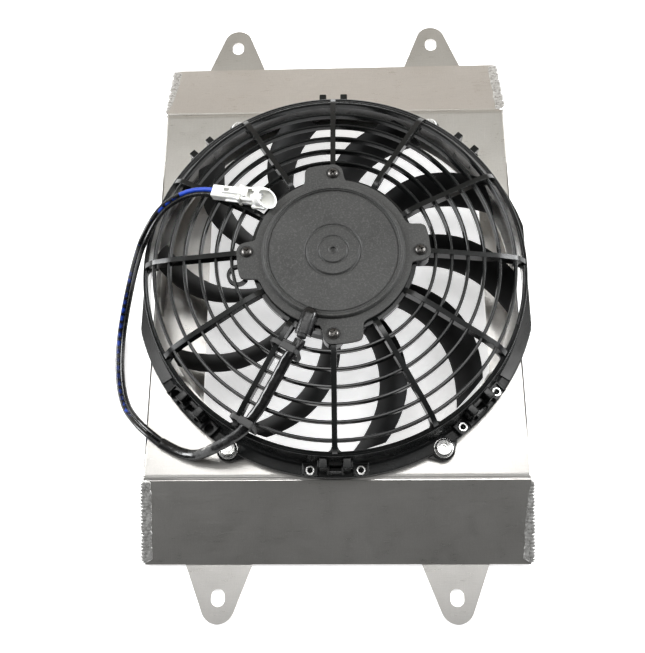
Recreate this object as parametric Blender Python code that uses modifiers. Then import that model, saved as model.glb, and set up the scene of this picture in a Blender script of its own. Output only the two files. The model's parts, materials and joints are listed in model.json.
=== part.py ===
"""Electric cooling fan on a folded aluminium shroud, the air-moving half of an oil cooler.

The shroud lies on its open back at z = 0 and the fan blows up, along +Z. The fan's axis is the Z axis,
+Y points to the shroud's top ears and +X to its right. Sizes below are in millimetres and every mesh is
built in metres.
"""

import math

import bmesh
import bpy
from mathutils import Matrix, Vector

MM = 0.001
GAP = 0.3  # between pieces that touch
AXIS_POINT = 1e-6  # a profile point nearer the axis than this lies on it

# Shroud: one folded sheet with a flat front, two sloping faces, two side walls and two return flanges.
SHEET = 2.0
DEPTH = 25.0
HALF_WIDTH = 143.0
FRONT_HALF = 154.0
BACK_HALF = 215.4
BEND = 3.5
FAN_HOLE_R = 139.5
LEFT_FLANGE = 38.0
RIGHT_FLANGE = 21.3
EDGE = 3.0  # the sloping sheet's outer edge stands this high, on top of the ears
SLOPE = (DEPTH - EDGE) / (BACK_HALF - FRONT_HALF)
SHEET_UPRIGHT = SHEET * math.hypot(1.0, SLOPE)  # the sloping sheet's thickness measured along Z
WELD_R = 2.6

# Ears
EAR_X = 87.7
EAR_LAP = 13.0
EAR_BASE_HALF = 25.0
EAR_TIP_R = 12.5
EAR_TIP_Y = 245.0
EAR_HOLE_Y = 239.0
EAR_HOLE_R = 5.05
EAR_SLOT_HALF = 1.2

# Fan housing: ring, guard ribs, spokes and hub ring in one moulding
RING_Z = DEPTH + GAP
RIM_Z = 61.3
RIM_IN, RIM_OUT = 141.5, 145.0
WALL_BASE_IN = 147.0
WALL_FOOT_R = 149.0
LEDGE_R, LEDGE_Z = 156.5, 34.0
RING_FLAT = 150.0  # the ledge is cut off flat here on the left and right
RIB_WIDTH, RIB_HEIGHT = 3.0, 5.2
RIBS = ((74.6, 84.0), (86.6, 80.9), (98.7, 78.7), (110.8, 76.9), (122.8, 73.5), (134.9, 70.0))
SPOKES = 12
SPOKE_TOP = ((55.5, 82.4), (74.6, 84.8), (98.7, 79.6), (122.8, 74.6), (136.5, 70.4), (143.6, 62.4))
SPOKE_FOOT = ((143.6, 52.0), (137.0, 59.5), (122.8, 66.0), (98.7, 71.0), (74.6, 75.6), (55.5, 76.0))
SPOKE_HALF = 1.9
HUB_RING_IN, HUB_RING_OUT, HUB_RING_Z = 53.0, 61.0, (75.5, 82.6)
BRACKET_ANGLES = (45.0, 90.0, 135.0, 225.0, 270.0, 315.0)
BRACKET_RIB = (5.0, 8.0, 22.0)  # across, outwards, up
BRACKET_SPREAD = 8.5
INSERT_SPREAD, INSERT_R, INSERT_BORE = 18.5, 3.5, 1.8

# Bolts through the ring's lobes and the shroud's front
LOBE_X, LOBE_Y, LOBE_R = 79.3, 134.6, 9.0
LOBE_TOP = 31.5
POCKET_R = 7.7  # room in the ledge for the washer and the bolt's head
WASHER_R, WASHER_T = 7.2, 1.4
BOLT_HEAD_R, BOLT_HEAD_T, BOLT_R = 6.6, 3.0, 2.9
BOLT_HOLE_R = BOLT_R + GAP
BOLT_END_Z = 12.0
NUT_R, NUT_T = 5.8, 5.0

# Facets round a full turn, by size
RING_FACETS, RIB_FACETS, MOTOR_FACETS, SMALL_FACETS = 36, 24, 24, 12

# Motor
SCREW_PCD_R, EAR_PAD_R = 63.0, 7.8
COVER_R, COVER_RIM_R, COVER_Z = 57.7, 51.0, 84.3
CAN_R, CAN_WALL, CAN_Z = 46.0, 1.8, (37.0, 79.3)
SHAFT_R = 4.0
BORE_R = SHAFT_R + GAP
BEARING_R = 11.0

# Impeller
BLADES = 10
HUB_R, HUB_WALL, HUB_Z = 52.0, 2.8, (29.5, 68.0)
BLADE_ROOT_R, BLADE_TIP_R = 50.5, 138.5
BLADE_THICK = 2.4
BLADE_START = 23.0  # degrees, the first blade's leading edge at its root

# Cable
SLEEVE_R, WIRE_R = 4.0, 1.8
CABLE_SPOKE = 240.0  # degrees
CABLE_OFFSET = 12.3  # of the sleeve from that spoke's middle
HOOD_ANGLE, HOOD_Z = 251.2, 90.2  # the leads leave the cover here, at this height
HOOD_REACH = 67.4
TIES = ((80.5, 89.3, 17.6, 10.2), (138.2, 74.6, 14.9, 9.2))  # radius, sleeve's height, reach beside, head's middle
SLEEVE_START = ((-23.2, -68.3, 90.2), (-23.9, -70.4, 90.2), (-25.9, -73.2, 90.0), (-29.2, -77.0, 89.2))
SLEEVE_BESIDE_SPOKE = ((86.5, 87.4), (98.0, 84.2), (110.0, 82.0), (122.5, 79.0))  # radius, height
SLEEVE_END = (
    (-56.4, -119.6, 76.4), (-60.8, -125.0, 73.2), (-65.6, -129.0, 69.2), (-72.2, -132.0, 63.6),
    (-80.0, -135.0, 57.8), (-87.5, -137.4, 51.6), (-96.0, -139.0, 42.4), (-105.0, -139.2, 35.0),
    (-117.0, -135.8, 30.6), (-130.4, -129.0, 29.2),
)  # fmt: skip
WIRE_ROUTE = (
    (-130.9, -128.7, 29.0), (-141.0, -121.0, 27.8), (-151.0, -112.0, 23.0), (-163.0, -98.0, 12.0),
    (-170.5, -80.0, 5.0), (-174.0, -60.0, 2.4), (-173.8, -38.0, 4.6), (-169.4, -18.0, 14.0),
    (-162.0, -2.0, 31.0), (-153.8, 8.5, 50.0), (-146.0, 17.0, 65.6), (-138.0, 30.0, 72.6),
    (-128.5, 42.4, 75.6), (-115.0, 50.2, 78.6), (-102.0, 51.9, 82.2), (-90.2, 50.0, 85.2),
)  # fmt: skip
WIRE_SPREAD = 1.95

CONNECTOR_REAR = Vector((-89.9, 49.9, 85.3))
CONNECTOR_FRONT = Vector((-46.0, 39.2, 94.0))

COLOURS = {
    "aluminium": ((0.62, 0.60, 0.56), 0.42, 1.0),
    "weld": ((0.70, 0.69, 0.67), 0.35, 1.0),
    "fan_plastic": ((0.02, 0.022, 0.022), 0.38, 0.0),
    "blade_plastic": ((0.010, 0.011, 0.012), 0.45, 0.0),
    "motor_paint": ((0.10, 0.10, 0.098), 0.62, 0.0),
    "zinc": ((0.78, 0.78, 0.77), 0.28, 1.0),
    "dark_zinc": ((0.12, 0.12, 0.12), 0.4, 1.0),
    "steel": ((0.48, 0.48, 0.49), 0.35, 1.0),
    "lamination": ((0.30, 0.30, 0.31), 0.5, 1.0),
    "ferrite": ((0.07, 0.07, 0.075), 0.7, 0.0),
    "copper": ((0.72, 0.36, 0.20), 0.35, 1.0),
    "carbon": ((0.04, 0.04, 0.04), 0.8, 0.0),
    "phenolic": ((0.25, 0.13, 0.07), 0.55, 0.0),
    "rubber": ((0.03, 0.03, 0.03), 0.75, 0.0),
    "cable_black": ((0.015, 0.015, 0.016), 0.5, 0.0),
    "wire_blue": ((0.02, 0.06, 0.55), 0.4, 0.0),
    "nylon_white": ((0.82, 0.82, 0.78), 0.4, 0.0),
    "tie_nylon": ((0.08, 0.08, 0.08), 0.5, 0.0),
    "tin": ((0.70, 0.70, 0.68), 0.3, 1.0),
}


def clear_scene():
    for obj in list(bpy.data.objects):
        bpy.data.objects.remove(obj, do_unlink=True)


def new_collection(name):
    collection = bpy.data.collections.new(name)
    bpy.context.scene.collection.children.link(collection)
    return collection


def material(name):
    found = bpy.data.materials.get(name)
    if found:
        return found
    colour, roughness, metallic = COLOURS[name]
    made = bpy.data.materials.new(name)
    made.use_nodes = True
    shader = made.node_tree.nodes["Principled BSDF"]
    shader.inputs["Base Color"].default_value = (*colour, 1.0)
    shader.inputs["Roughness"].default_value = roughness
    shader.inputs["Metallic"].default_value = metallic
    return made


def place(name, mesh, colour=None, matrix=None):
    """An object of this mesh: a part when it has a colour, else a helper that the build leaves out."""
    obj = bpy.data.objects.new(name, mesh)
    if colour:
        mesh.materials.clear()
        mesh.materials.append(material(colour))
        PARTS.objects.link(obj)
    else:
        HELPERS.objects.link(obj)
        obj.hide_render = True
        obj.display_type = "WIRE"
    if matrix:
        obj.matrix_world = matrix
    return obj


def from_bmesh(name, bm, colour=None, matrix=None):
    bmesh.ops.recalc_face_normals(bm, faces=bm.faces)
    mesh = bpy.data.meshes.new(name)
    bm.to_mesh(mesh)
    bm.free()
    return place(name, mesh, colour, matrix)


def bake(obj):
    """Replaces the object's modifiers, or its curve, by the mesh that they make."""
    bpy.context.view_layer.update()
    graph = bpy.context.evaluated_depsgraph_get()
    mesh = bpy.data.meshes.new_from_object(obj.evaluated_get(graph))
    bm = bmesh.new()
    bm.from_mesh(mesh)
    bmesh.ops.remove_doubles(bm, verts=bm.verts, dist=1e-6)
    bmesh.ops.recalc_face_normals(bm, faces=bm.faces)
    bm.to_mesh(mesh)
    bm.free()
    if obj.type == "MESH":
        obj.modifiers.clear()
        obj.data = mesh
        return obj
    name, matrix = obj.name, obj.matrix_world.copy()
    colour = mesh.materials[0].name if mesh.materials else None
    bpy.data.objects.remove(obj, do_unlink=True)
    return place(name, mesh, colour, matrix)


def combine(obj, operation, others):
    """One Boolean of the object with all the others, which are used up."""
    group = new_collection(f"{obj.name}_{operation.lower()}")
    for other in others:
        group.objects.link(other)
    modifier = obj.modifiers.new(operation.title(), "BOOLEAN")
    modifier.operation = operation
    modifier.operand_type = "COLLECTION"
    modifier.collection = group
    modifier.solver = "EXACT"
    bake(obj)
    for other in others:
        bpy.data.objects.remove(other, do_unlink=True)
    bpy.data.collections.remove(group)
    return obj


def shade(obj, angle=35.0):
    obj.data.shade_smooth()
    obj.data.set_sharp_from_angle(angle=math.radians(angle))
    return obj


def turned(name, profile, colour=None, steps=MOTOR_FACETS, matrix=None):
    """A body of revolution about Z. The profile of (radius, z) runs down its outer side."""
    on_axis = profile[0][0] < AXIS_POINT
    mesh = bpy.data.meshes.new(name)
    count = len(profile)
    edges = [(i, i + 1) for i in range(count - 1)]
    if not on_axis:
        edges.append((count - 1, 0))
    mesh.from_pydata([(r * MM, 0.0, z * MM) for r, z in profile], edges, [])
    obj = place(name, mesh, colour, matrix)
    screw = obj.modifiers.new("Turn", "SCREW")
    screw.steps = screw.render_steps = steps
    screw.use_merge_vertices = True
    screw.merge_threshold = 1e-6
    screw.use_normal_calculate = True
    return bake(obj)


def nut(name, radius, low, high, at=(0.0, 0.0), bore=BORE_R):
    hexagon = circle(0.0, 0.0, radius, 6)
    move = Matrix.Translation((at[0] * MM, at[1] * MM, 0.0))
    shade(plate(name, [hexagon, circle(0.0, 0.0, bore, 14)], low, high, "zinc", move))


def rod(name, radius, low, high, colour=None, at=(0.0, 0.0), sides=MOTOR_FACETS, bore=0.0):
    """An upright cylinder, or a tube when it has a bore."""
    if bore:
        profile = ((radius, high), (radius, low), (bore, low), (bore, high))
    else:
        profile = ((0.0, high), (radius, high), (radius, low), (0.0, low))
    return turned(name, profile, colour, sides, Matrix.Translation((at[0] * MM, at[1] * MM, 0.0)))


def box(name, low, high, colour=None, matrix=None):
    """A box between two corners, in the matrix's own axes."""
    low, high = Vector(low) * MM, Vector(high) * MM
    bm = bmesh.new()
    bmesh.ops.create_cube(bm, size=1.0)
    for vertex in bm.verts:
        vertex.co = [(low[i] + high[i]) / 2 + vertex.co[i] * (high[i] - low[i]) for i in range(3)]
    return from_bmesh(name, bm, colour, matrix)


def plate(name, loops, low, high, colour=None, matrix=None):
    """A flat plate from z low to high. The first loop is its outline and the others are its holes."""
    curve = bpy.data.curves.new(name, "CURVE")
    curve.dimensions = "2D"
    curve.fill_mode = "BOTH"
    curve.extrude = (high - low) / 2 * MM
    for loop in loops:
        spline = curve.splines.new("POLY")
        spline.points.add(len(loop) - 1)
        for point, (x, y) in zip(spline.points, loop):
            point.co = (x * MM, y * MM, 0.0, 1.0)
        spline.use_cyclic_u = True
    if colour:
        curve.materials.append(material(colour))
    obj = bpy.data.objects.new(name, curve)
    (PARTS if colour else HELPERS).objects.link(obj)
    lift = Matrix.Translation((0.0, 0.0, (low + high) / 2 * MM))
    obj.matrix_world = (matrix or Matrix.Identity(4)) @ lift
    return bake(obj)


def arc(cx, cy, radius, start, end, count):
    """Points on a circle, with both ends, in degrees."""
    angles = [math.radians(start + (end - start) * i / (count - 1)) for i in range(count)]
    return [(cx + radius * math.cos(a), cy + radius * math.sin(a)) for a in angles]


def circle(cx, cy, radius, count):
    return arc(cx, cy, radius, 0.0, 360.0 * (count - 1) / count, count)


def slot(cx, cy, radius, half, count):
    """A slot along Y: two half circles whose centres are half above and below its middle."""
    return arc(cx, cy + half, radius, 0.0, 180.0, count) + arc(cx, cy - half, radius, 180.0, 360.0, count)


def turn(degrees):
    return Matrix.Rotation(math.radians(degrees), 4, "Z")


def on_circle(radius, degrees):
    a = math.radians(degrees)
    return radius * math.cos(a), radius * math.sin(a)


def smooth_route(points, step):
    """Points about a step apart on a Catmull-Rom curve through the route's points."""
    points = [Vector(p) for p in points]
    padded = [2 * points[0] - points[1], *points, 2 * points[-1] - points[-2]]
    dense = []
    for a, b, c, d in zip(padded, padded[1:], padded[2:], padded[3:]):
        for i in range(12):
            t = i / 12
            dense.append(
                0.5 * (2 * b + (c - a) * t + (2 * a - 5 * b + 4 * c - d) * t**2 + (3 * b - a - 3 * c + d) * t**3)
            )
    dense.append(points[-1])
    along = [0.0]
    for a, b in zip(dense, dense[1:]):
        along.append(along[-1] + (b - a).length)
    count = max(2, round(along[-1] / step) + 1)
    spaced, j = [], 0
    for i in range(count):
        wanted = along[-1] * i / (count - 1)
        while j < len(along) - 2 and along[j + 1] < wanted:
            j += 1
        share = (wanted - along[j]) / max(along[j + 1] - along[j], 1e-9)
        spaced.append(dense[j].lerp(dense[j + 1], min(share, 1.0)))
    return spaced


def tube(name, points, radius, colour, resolution=2):
    curve = bpy.data.curves.new(name, "CURVE")
    curve.dimensions = "3D"
    curve.bevel_depth = radius * MM
    curve.bevel_resolution = resolution
    curve.use_fill_caps = True
    spline = curve.splines.new("POLY")
    spline.points.add(len(points) - 1)
    for point, place_mm in zip(spline.points, points):
        point.co = (*(place_mm * MM), 1.0)
    curve.materials.append(material(colour))
    obj = bpy.data.objects.new(name, curve)
    PARTS.objects.link(obj)
    return obj


def sloped_block(name, half_width, low, high, clearance=0.0, bend=0.0):
    """The space under the shroud's front and sloping faces, moved out or in by a clearance."""
    rise = clearance * math.hypot(1.0, SLOPE)
    side = BACK_HALF + clearance
    corner = EDGE + rise - clearance * SLOPE
    reach = BACK_HALF - (high - EDGE - rise) / SLOPE
    if low < corner:
        half = [(reach, high), (side, corner), (side, low)]
    else:
        half = [(reach, high), (BACK_HALF - (low - EDGE - rise) / SLOPE, low)]
    outline = half + [(-y, z) for y, z in reversed(half)]
    bm = bmesh.new()
    ends = [[bm.verts.new(Vector((x, y, z)) * MM) for y, z in outline] for x in (-half_width, half_width)]
    for i in range(len(outline)):
        j = (i + 1) % len(outline)
        bm.faces.new((ends[0][i], ends[0][j], ends[1][j], ends[1][i]))
    bm.faces.new(ends[0])
    bm.faces.new(list(reversed(ends[1])))
    if bend:
        top = [e for e in bm.edges if all(v.co.z > (high - 1) * MM for v in e.verts)]
        bmesh.ops.bevel(bm, geom=top, offset=bend * MM, segments=3, profile=0.5, affect="EDGES")
    bmesh.ops.recalc_face_normals(bm, faces=bm.faces)
    return from_bmesh(name, bm)


def shroud():
    body = sloped_block("shroud_body", HALF_WIDTH, 0.0, DEPTH, bend=BEND)
    body.data.materials.append(material("aluminium"))
    inner = sloped_block("inner", HALF_WIDTH - SHEET, SHEET, DEPTH - SHEET, clearance=-SHEET, bend=BEND - SHEET)
    opening = sloped_block("opening", HALF_WIDTH, -1.0, SHEET + 0.5, clearance=-SHEET)
    for vertex in opening.data.vertices:
        wide = LEFT_FLANGE if vertex.co.x < 0 else RIGHT_FLANGE
        vertex.co.x = math.copysign(HALF_WIDTH - wide, vertex.co.x) * MM
    cutters = [inner, opening, rod("fan_hole", FAN_HOLE_R, DEPTH - 6, DEPTH + 6, sides=48)]
    for x in (-LOBE_X, LOBE_X):
        for y in (-LOBE_Y, LOBE_Y):
            cutters.append(rod("bolt_hole", BOLT_HOLE_R, DEPTH - 5.5, DEPTH + 5.5, at=(x, y), sides=SMALL_FACETS))
    for x in (-EAR_X, EAR_X):
        for side in (-1, 1):
            near, far = sorted((side * (BACK_HALF - EAR_LAP - GAP), side * (BACK_HALF + 2)))
            half = EAR_BASE_HALF + GAP
            cutters.append(box("ear_notch", (x - half, near, -1.5), (x + half, far, SHEET + GAP)))
    combine(body, "DIFFERENCE", cutters)
    HELPERS.objects.unlink(body)
    PARTS.objects.link(body)
    body.hide_render = False
    body.display_type = "TEXTURED"
    shade(body, 30)


def ear_outline(side):
    """The ear's outline at x = 0, pointing to +Y or -Y, with straight flanks tangent to its round tip."""
    rise = EAR_TIP_Y - BACK_HALF
    lean = math.degrees(math.asin(EAR_TIP_R / math.hypot(EAR_BASE_HALF, rise)))
    flank = math.degrees(math.atan2(rise, EAR_BASE_HALF)) + lean
    tip = arc(0.0, EAR_TIP_Y, EAR_TIP_R, 90.0 - flank, 90.0 + flank, 11)
    root = BACK_HALF - EAR_LAP
    outline = [(-EAR_BASE_HALF, root), (EAR_BASE_HALF, root), (EAR_BASE_HALF, BACK_HALF), *tip]
    outline.append((-EAR_BASE_HALF, BACK_HALF))
    return [(x, side * y) for x, y in outline]


def ears():
    for tall, side in (("top", 1), ("bottom", -1)):
        for wide, x in (("left", -EAR_X), ("right", EAR_X)):
            hole = slot(0.0, side * EAR_HOLE_Y, EAR_HOLE_R, EAR_SLOT_HALF, 9)
            move = Matrix.Translation((x * MM, 0.0, 0.0))
            ear = plate(f"mounting_ear_{tall}_{wide}", [ear_outline(side), hole], 0.0, SHEET, "aluminium", move)
            shade(ear)


def weld_beads():
    """A bead over each corner seam between a sloping face and a side wall."""
    for tall, y_side in (("top", 1), ("bottom", -1)):
        for wide, x_side in (("left", -1), ("right", 1)):
            front = Vector((x_side * HALF_WIDTH, y_side * FRONT_HALF, DEPTH))
            back = Vector((x_side * HALF_WIDTH, y_side * BACK_HALF, EDGE))
            points = [front.lerp(back, 0.02 + 0.87 * i / 8) for i in range(9)]
            bead = bake(tube(f"weld_bead_{tall}_{wide}", points, WELD_R, "weld", 1))
            keep_off = sloped_block("keep_off", HALF_WIDTH + GAP, -4.0, DEPTH + GAP, clearance=GAP)
            shade(combine(bead, "DIFFERENCE", [keep_off]), 60)


def ring_wall():
    profile = (
        (RIM_OUT - 0.8, RIM_Z), (RIM_OUT, RIM_Z - 1.0), (WALL_FOOT_R - 1.5, LEDGE_Z + 3.0),
        (LEDGE_R - 1.0, LEDGE_Z), (LEDGE_R, LEDGE_Z - 1.5), (LEDGE_R, RING_Z), (WALL_BASE_IN, RING_Z),
        (RIM_IN, RIM_Z - 0.6), (RIM_IN + 1.0, RIM_Z),
    )  # fmt: skip
    return turned("fan_housing", profile, "fan_plastic", RING_FACETS)


def guard_ribs():
    half = RIB_WIDTH / 2
    for i, (radius, top) in enumerate(RIBS):
        foot = top - RIB_HEIGHT
        profile = ((radius + half, top), (radius + half, foot), (radius - half, foot), (radius - half, top))
        yield turned(f"rib_{i}", profile, None, RIB_FACETS)


def guard_spokes():
    outline = [*SPOKE_TOP, *SPOKE_FOOT]
    for i in range(SPOKES):
        # The plate is drawn with the radius along X and the height along Y, then stood up on its edge.
        stand = turn(360.0 * i / SPOKES) @ Matrix.Rotation(math.radians(90.0), 4, "X")
        yield plate(f"spoke_{i}", [outline], -SPOKE_HALF, SPOKE_HALF, None, stand)


def ring_brackets():
    across, outwards, up = BRACKET_RIB
    for angle in BRACKET_ANGLES:
        for side in (-1, 1):
            middle = side * BRACKET_SPREAD
            low = (RIM_OUT + 0.5, middle - across / 2, LEDGE_Z - 1.0)
            high = (RIM_OUT + outwards, middle + across / 2, LEDGE_Z + up)
            yield box("bracket_rib", low, high, None, turn(angle))


def housing_lobes():
    for x in (-LOBE_X, LOBE_X):
        for y in (-LOBE_Y, LOBE_Y):
            yield rod("lobe", LOBE_R, RING_Z, LOBE_TOP, at=(x, y), sides=SMALL_FACETS)


def fan_housing():
    """Ring, six ribs, twelve spokes, hub ring, brackets and bolt lobes, moulded in one piece."""
    housing = ring_wall()
    low, high = HUB_RING_Z
    hub = turned(
        "hub_ring",
        (
            (HUB_RING_OUT, high), (HUB_RING_OUT, low), (HUB_RING_IN - 2.5, low), (HUB_RING_IN - 2.5, low + 3.4),
            (HUB_RING_IN, low + 3.4), (HUB_RING_IN, high),
        ),
    )  # fmt: skip
    pads = [rod("pad", EAR_PAD_R, low - 1.5, COVER_Z - GAP, at=on_circle(SCREW_PCD_R, 90 * i), sides=SMALL_FACETS) for i in range(4)]
    for pad in pads:
        # Above the hub ring the pad leaves room for the gasket.
        combine(pad, "DIFFERENCE", [rod("gasket_room", COVER_R + 0.1, high - 1.5, COVER_Z + 5, sides=RING_FACETS)])
    pieces = [hub, *pads, *guard_ribs(), *guard_spokes(), *ring_brackets(), *housing_lobes(), guard_hook()]
    combine(housing, "UNION", pieces)
    cutters = []
    for i in range(4):
        cutters.append(rod("screw_hole", 2.2, low - 5, COVER_Z + 5, at=on_circle(SCREW_PCD_R, 90 * i), sides=12))
    for x in (-LOBE_X, LOBE_X):
        for y in (-LOBE_Y, LOBE_Y):
            cutters.append(rod("bolt_hole", BOLT_HOLE_R, RING_Z - 5, LOBE_TOP + 5, at=(x, y), sides=SMALL_FACETS))
            cutters.append(rod("pocket", POCKET_R, LOBE_TOP, RIM_Z + 5, at=(x, y), sides=SMALL_FACETS))
    for angle, side in insert_places():
        x, y = insert_centre(angle, side)
        cutters.append(rod("insert_hole", INSERT_R + GAP, LEDGE_Z - 7, LEDGE_Z + 9, at=(x, y), sides=14))
    for side in (-1, 1):
        near, far = sorted((side * RING_FLAT, side * (RING_FLAT + 20)))
        cutters.append(box("flat", (near, -80, RING_Z - 5), (far, 80, RIM_Z + 5)))
    combine(housing, "DIFFERENCE", cutters)
    shade(housing)


def guard_hook():
    """A small open hook under the first ribs that holds a drain tube or lead."""
    loop = arc(0.0, 0.0, 8.0, 40.0, 320.0, 15) + arc(0.0, 0.0, 5.6, 320.0, 40.0, 15)
    x, y = on_circle(71.5, 193.0)
    move = Matrix.Translation((x * MM, y * MM, 0.0)) @ turn(15.0)
    return plate("hook", [loop], 78.8, 83.2, None, move)


def insert_places():
    return [(angle, side) for angle in (270.0, 315.0) for side in (-1, 1)]


def insert_centre(angle, side):
    """The middle of a threaded insert in the ring's ledge, beside a bracket."""
    a = math.radians(angle)
    radius = (WALL_FOOT_R + LEDGE_R) / 2 - 0.6
    radial, along = Vector((math.cos(a), math.sin(a))), Vector((-math.sin(a), math.cos(a)))
    spread = side * INSERT_SPREAD
    middle = radial * math.sqrt(radius**2 - spread**2) + along * spread
    return middle.x, middle.y


def thread_inserts():
    for i, (angle, side) in enumerate(insert_places()):
        at = insert_centre(angle, side)
        insert = rod(f"thread_insert_{i + 1}", INSERT_R, LEDGE_Z - 6.0, LEDGE_Z + 4.0, "zinc", at, 14, INSERT_BORE)
        shade(insert)


def mounting_bolts():
    washer_low = LOBE_TOP + GAP
    head_low = washer_low + WASHER_T + GAP
    nut_high = DEPTH - SHEET - GAP
    for tall, y in (("top", LOBE_Y), ("bottom", -LOBE_Y)):
        for wide, x in (("left", -LOBE_X), ("right", LOBE_X)):
            where = f"{tall}_{wide}"
            shade(rod(f"washer_{where}", WASHER_R, washer_low, washer_low + WASHER_T, "zinc", (x, y), SMALL_FACETS, BOLT_HOLE_R))
            head_high = head_low + BOLT_HEAD_T
            profile = (
                (0.0, head_high - 1.6), (3.2, head_high - 1.6), (3.2, head_high), (4.6, head_high),
                (BOLT_HEAD_R, head_low + 1.0), (BOLT_HEAD_R, head_low), (BOLT_R, head_low), (BOLT_R, BOLT_END_Z),
                (0.0, BOLT_END_Z),
            )  # fmt: skip
            move = Matrix.Translation((x * MM, y * MM, 0.0))
            shade(turned(f"mounting_bolt_{where}", profile, "zinc", SMALL_FACETS, move))
            nut(f"lock_nut_{where}", NUT_R, nut_high - NUT_T, nut_high, (x, y), BOLT_HOLE_R + 0.1)


def cover_ear_outline():
    """The cover's round edge with four broad ears, as one outline."""
    points = []
    tip = SCREW_PCD_R + EAR_PAD_R - 0.5
    before, level, after = 9.3, 14.5, 23.0  # degrees from the screw: near foot, end of the ear's crown, far foot
    for i in range(4):
        middle = 90.0 * i
        cx, cy = on_circle(SCREW_PCD_R, middle)
        points += arc(cx, cy, EAR_PAD_R, middle - 80.0, middle, 6)
        points += arc(0.0, 0.0, tip, middle + 3.0, middle + level, 5)
        points += [on_circle(tip - 1.6, middle + level + 2.6), on_circle(tip - 8.0, middle + level + 5.4)]
        points += arc(0.0, 0.0, COVER_R, middle + after, middle + 90.0 - before, 10)
    return points


def hood(name, half, start, low, high):
    """One step of the raised hood that the leads leave by, with a round inner end."""
    outline = arc(start + half, 0.0, half, 90.0, 270.0, 9) + [(HOOD_REACH, -half), (HOOD_REACH, half)]
    return plate(name, [outline], low, high, None, turn(HOOD_ANGLE))


def motor_cover():
    holes = [circle(*on_circle(SCREW_PCD_R, 90 * i), 2.2, 12) for i in range(4)]
    cover = plate("motor_cover", [cover_ear_outline(), *holes], COVER_Z, COVER_Z + 2.7, "motor_paint")
    dome = turned(
        "dome",
        (
            (0.0, 89.0), (2.2, 89.0), (2.6, 90.2), (10.0, 90.2), (10.6, 89.7), (18.6, 89.7), (19.6, 88.7),
            (48.6, 88.7), (49.2, 90.0), (50.4, 90.0), (COVER_RIM_R + 0.6, 86.0), (52.2, 84.0), (52.2, 81.8),
            (46.0, 81.8), (45.0, 86.3), (13.3, 86.3), (13.3, 81.2), (BEARING_R + GAP, 81.2), (BEARING_R + GAP, 86.6),
            (0.0, 86.6),
        ),
    )  # fmt: skip
    combine(cover, "UNION", [dome, hood("hood_foot", 6.0, 46.6, 85.2, 92.0), hood("hood_top", 4.2, 48.4, 91.0, 94.2)])
    inside = turned("inside", ((45.0, 86.3), (46.0, 80.0), (13.3, 80.0), (13.3, 86.3)))
    bore = rod("bore", BEARING_R + GAP, 79.0, 86.6)
    combine(cover, "DIFFERENCE", [inside, bore])
    shade(cover)


def cover_screws():
    low = COVER_Z + 2.7 + GAP
    for i, where in enumerate(("right", "top", "left", "bottom")):
        x, y = on_circle(SCREW_PCD_R, 90 * i)
        profile = ((0.0, low + 2.4), (3.0, low + 2.0), (4.2, low), (1.9, low), (1.9, 76.5), (0.0, 76.5))
        move = Matrix.Translation((x * MM, y * MM, 0.0))
        screw = turned(f"cover_screw_{where}", profile, "dark_zinc", SMALL_FACETS, move)
        cross = [
            box("cross", (-2.4, -0.45, low + 1.1), (2.4, 0.45, low + 4.0), None, move @ turn(angle + 20.0 * i))
            for angle in (0.0, 90.0)
        ]
        shade(combine(screw, "DIFFERENCE", cross))


def motor():
    low, high = CAN_Z
    inner = CAN_R - CAN_WALL
    shade(turned(
        "motor_can",
        (
            (52.4, high + 2.0), (52.4, high), (CAN_R, high), (CAN_R, low + 2.0), (CAN_R - 2.0, low), (6.0, low),
            (6.0, low + 2.0), (BEARING_R + GAP, low + 2.0), (BEARING_R + GAP, low + 9.5), (13.3, low + 9.5),
            (13.3, low + 2.0), (inner - 0.5, low + 2.0), (inner, low + 2.6), (inner, high + 2.0),
        ),
        "steel",
    ))  # fmt: skip
    shade(turned("cover_gasket", ((57.4, 84.0), (57.4, 82.9), (54.0, 82.9), (54.0, 84.0)), "rubber"))
    for name, base in (("bearing_front", low + 2.3), ("bearing_rear", 81.3)):
        width = 7.0 if name == "bearing_front" else 5.0
        shade(rod(name, BEARING_R, base, base + width, "steel", bore=BORE_R))
    for name, start in (("magnet_left", 110.0), ("magnet_right", -70.0)):
        arc_out = arc(0.0, 0.0, inner - 1.0, start, start + 140.0, 19)
        arc_in = arc(0.0, 0.0, 36.0, start + 140.0, start, 19)
        shade(plate(name, [arc_out + arc_in], 46.0, 74.0, "ferrite"))


def armature():
    """What turns inside the can: shaft, slotted core, two end windings and commutator."""
    shaft = (
        (0.0, 86.2), (3.4, 86.2), (SHAFT_R, 85.6), (SHAFT_R, 25.0), (SHAFT_R - 0.6, 24.4), (0.0, 24.4),
    )  # fmt: skip
    shade(turned("rotor_shaft", shaft, "steel", 20))
    slots = 12
    outline = []
    for i in range(slots):
        middle = 360.0 * i / slots
        outline += arc(0.0, 0.0, 31.5, middle - 12.0, middle + 12.0, 4)
        outline += arc(0.0, 0.0, 24.0, middle + 13.0, middle + 17.0, 2)
    shade(plate("armature_core", [outline, circle(0.0, 0.0, BORE_R, 20)], 50.0, 70.0, "lamination"))
    for name, base, top in (("winding_front", 43.6, 49.7), ("winding_rear", 70.3, 74.4)):
        middle = (base + top) / 2
        profile = ((24.0, top), (28.5, middle + 0.8), (28.5, middle - 0.8), (24.0, base), (15.5, base), (14.6, middle), (15.5, top))
        shade(turned(name, profile, "copper"))
    shade(rod("commutator", 12.0, 70.6, 80.6, "copper", bore=BORE_R))


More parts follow.
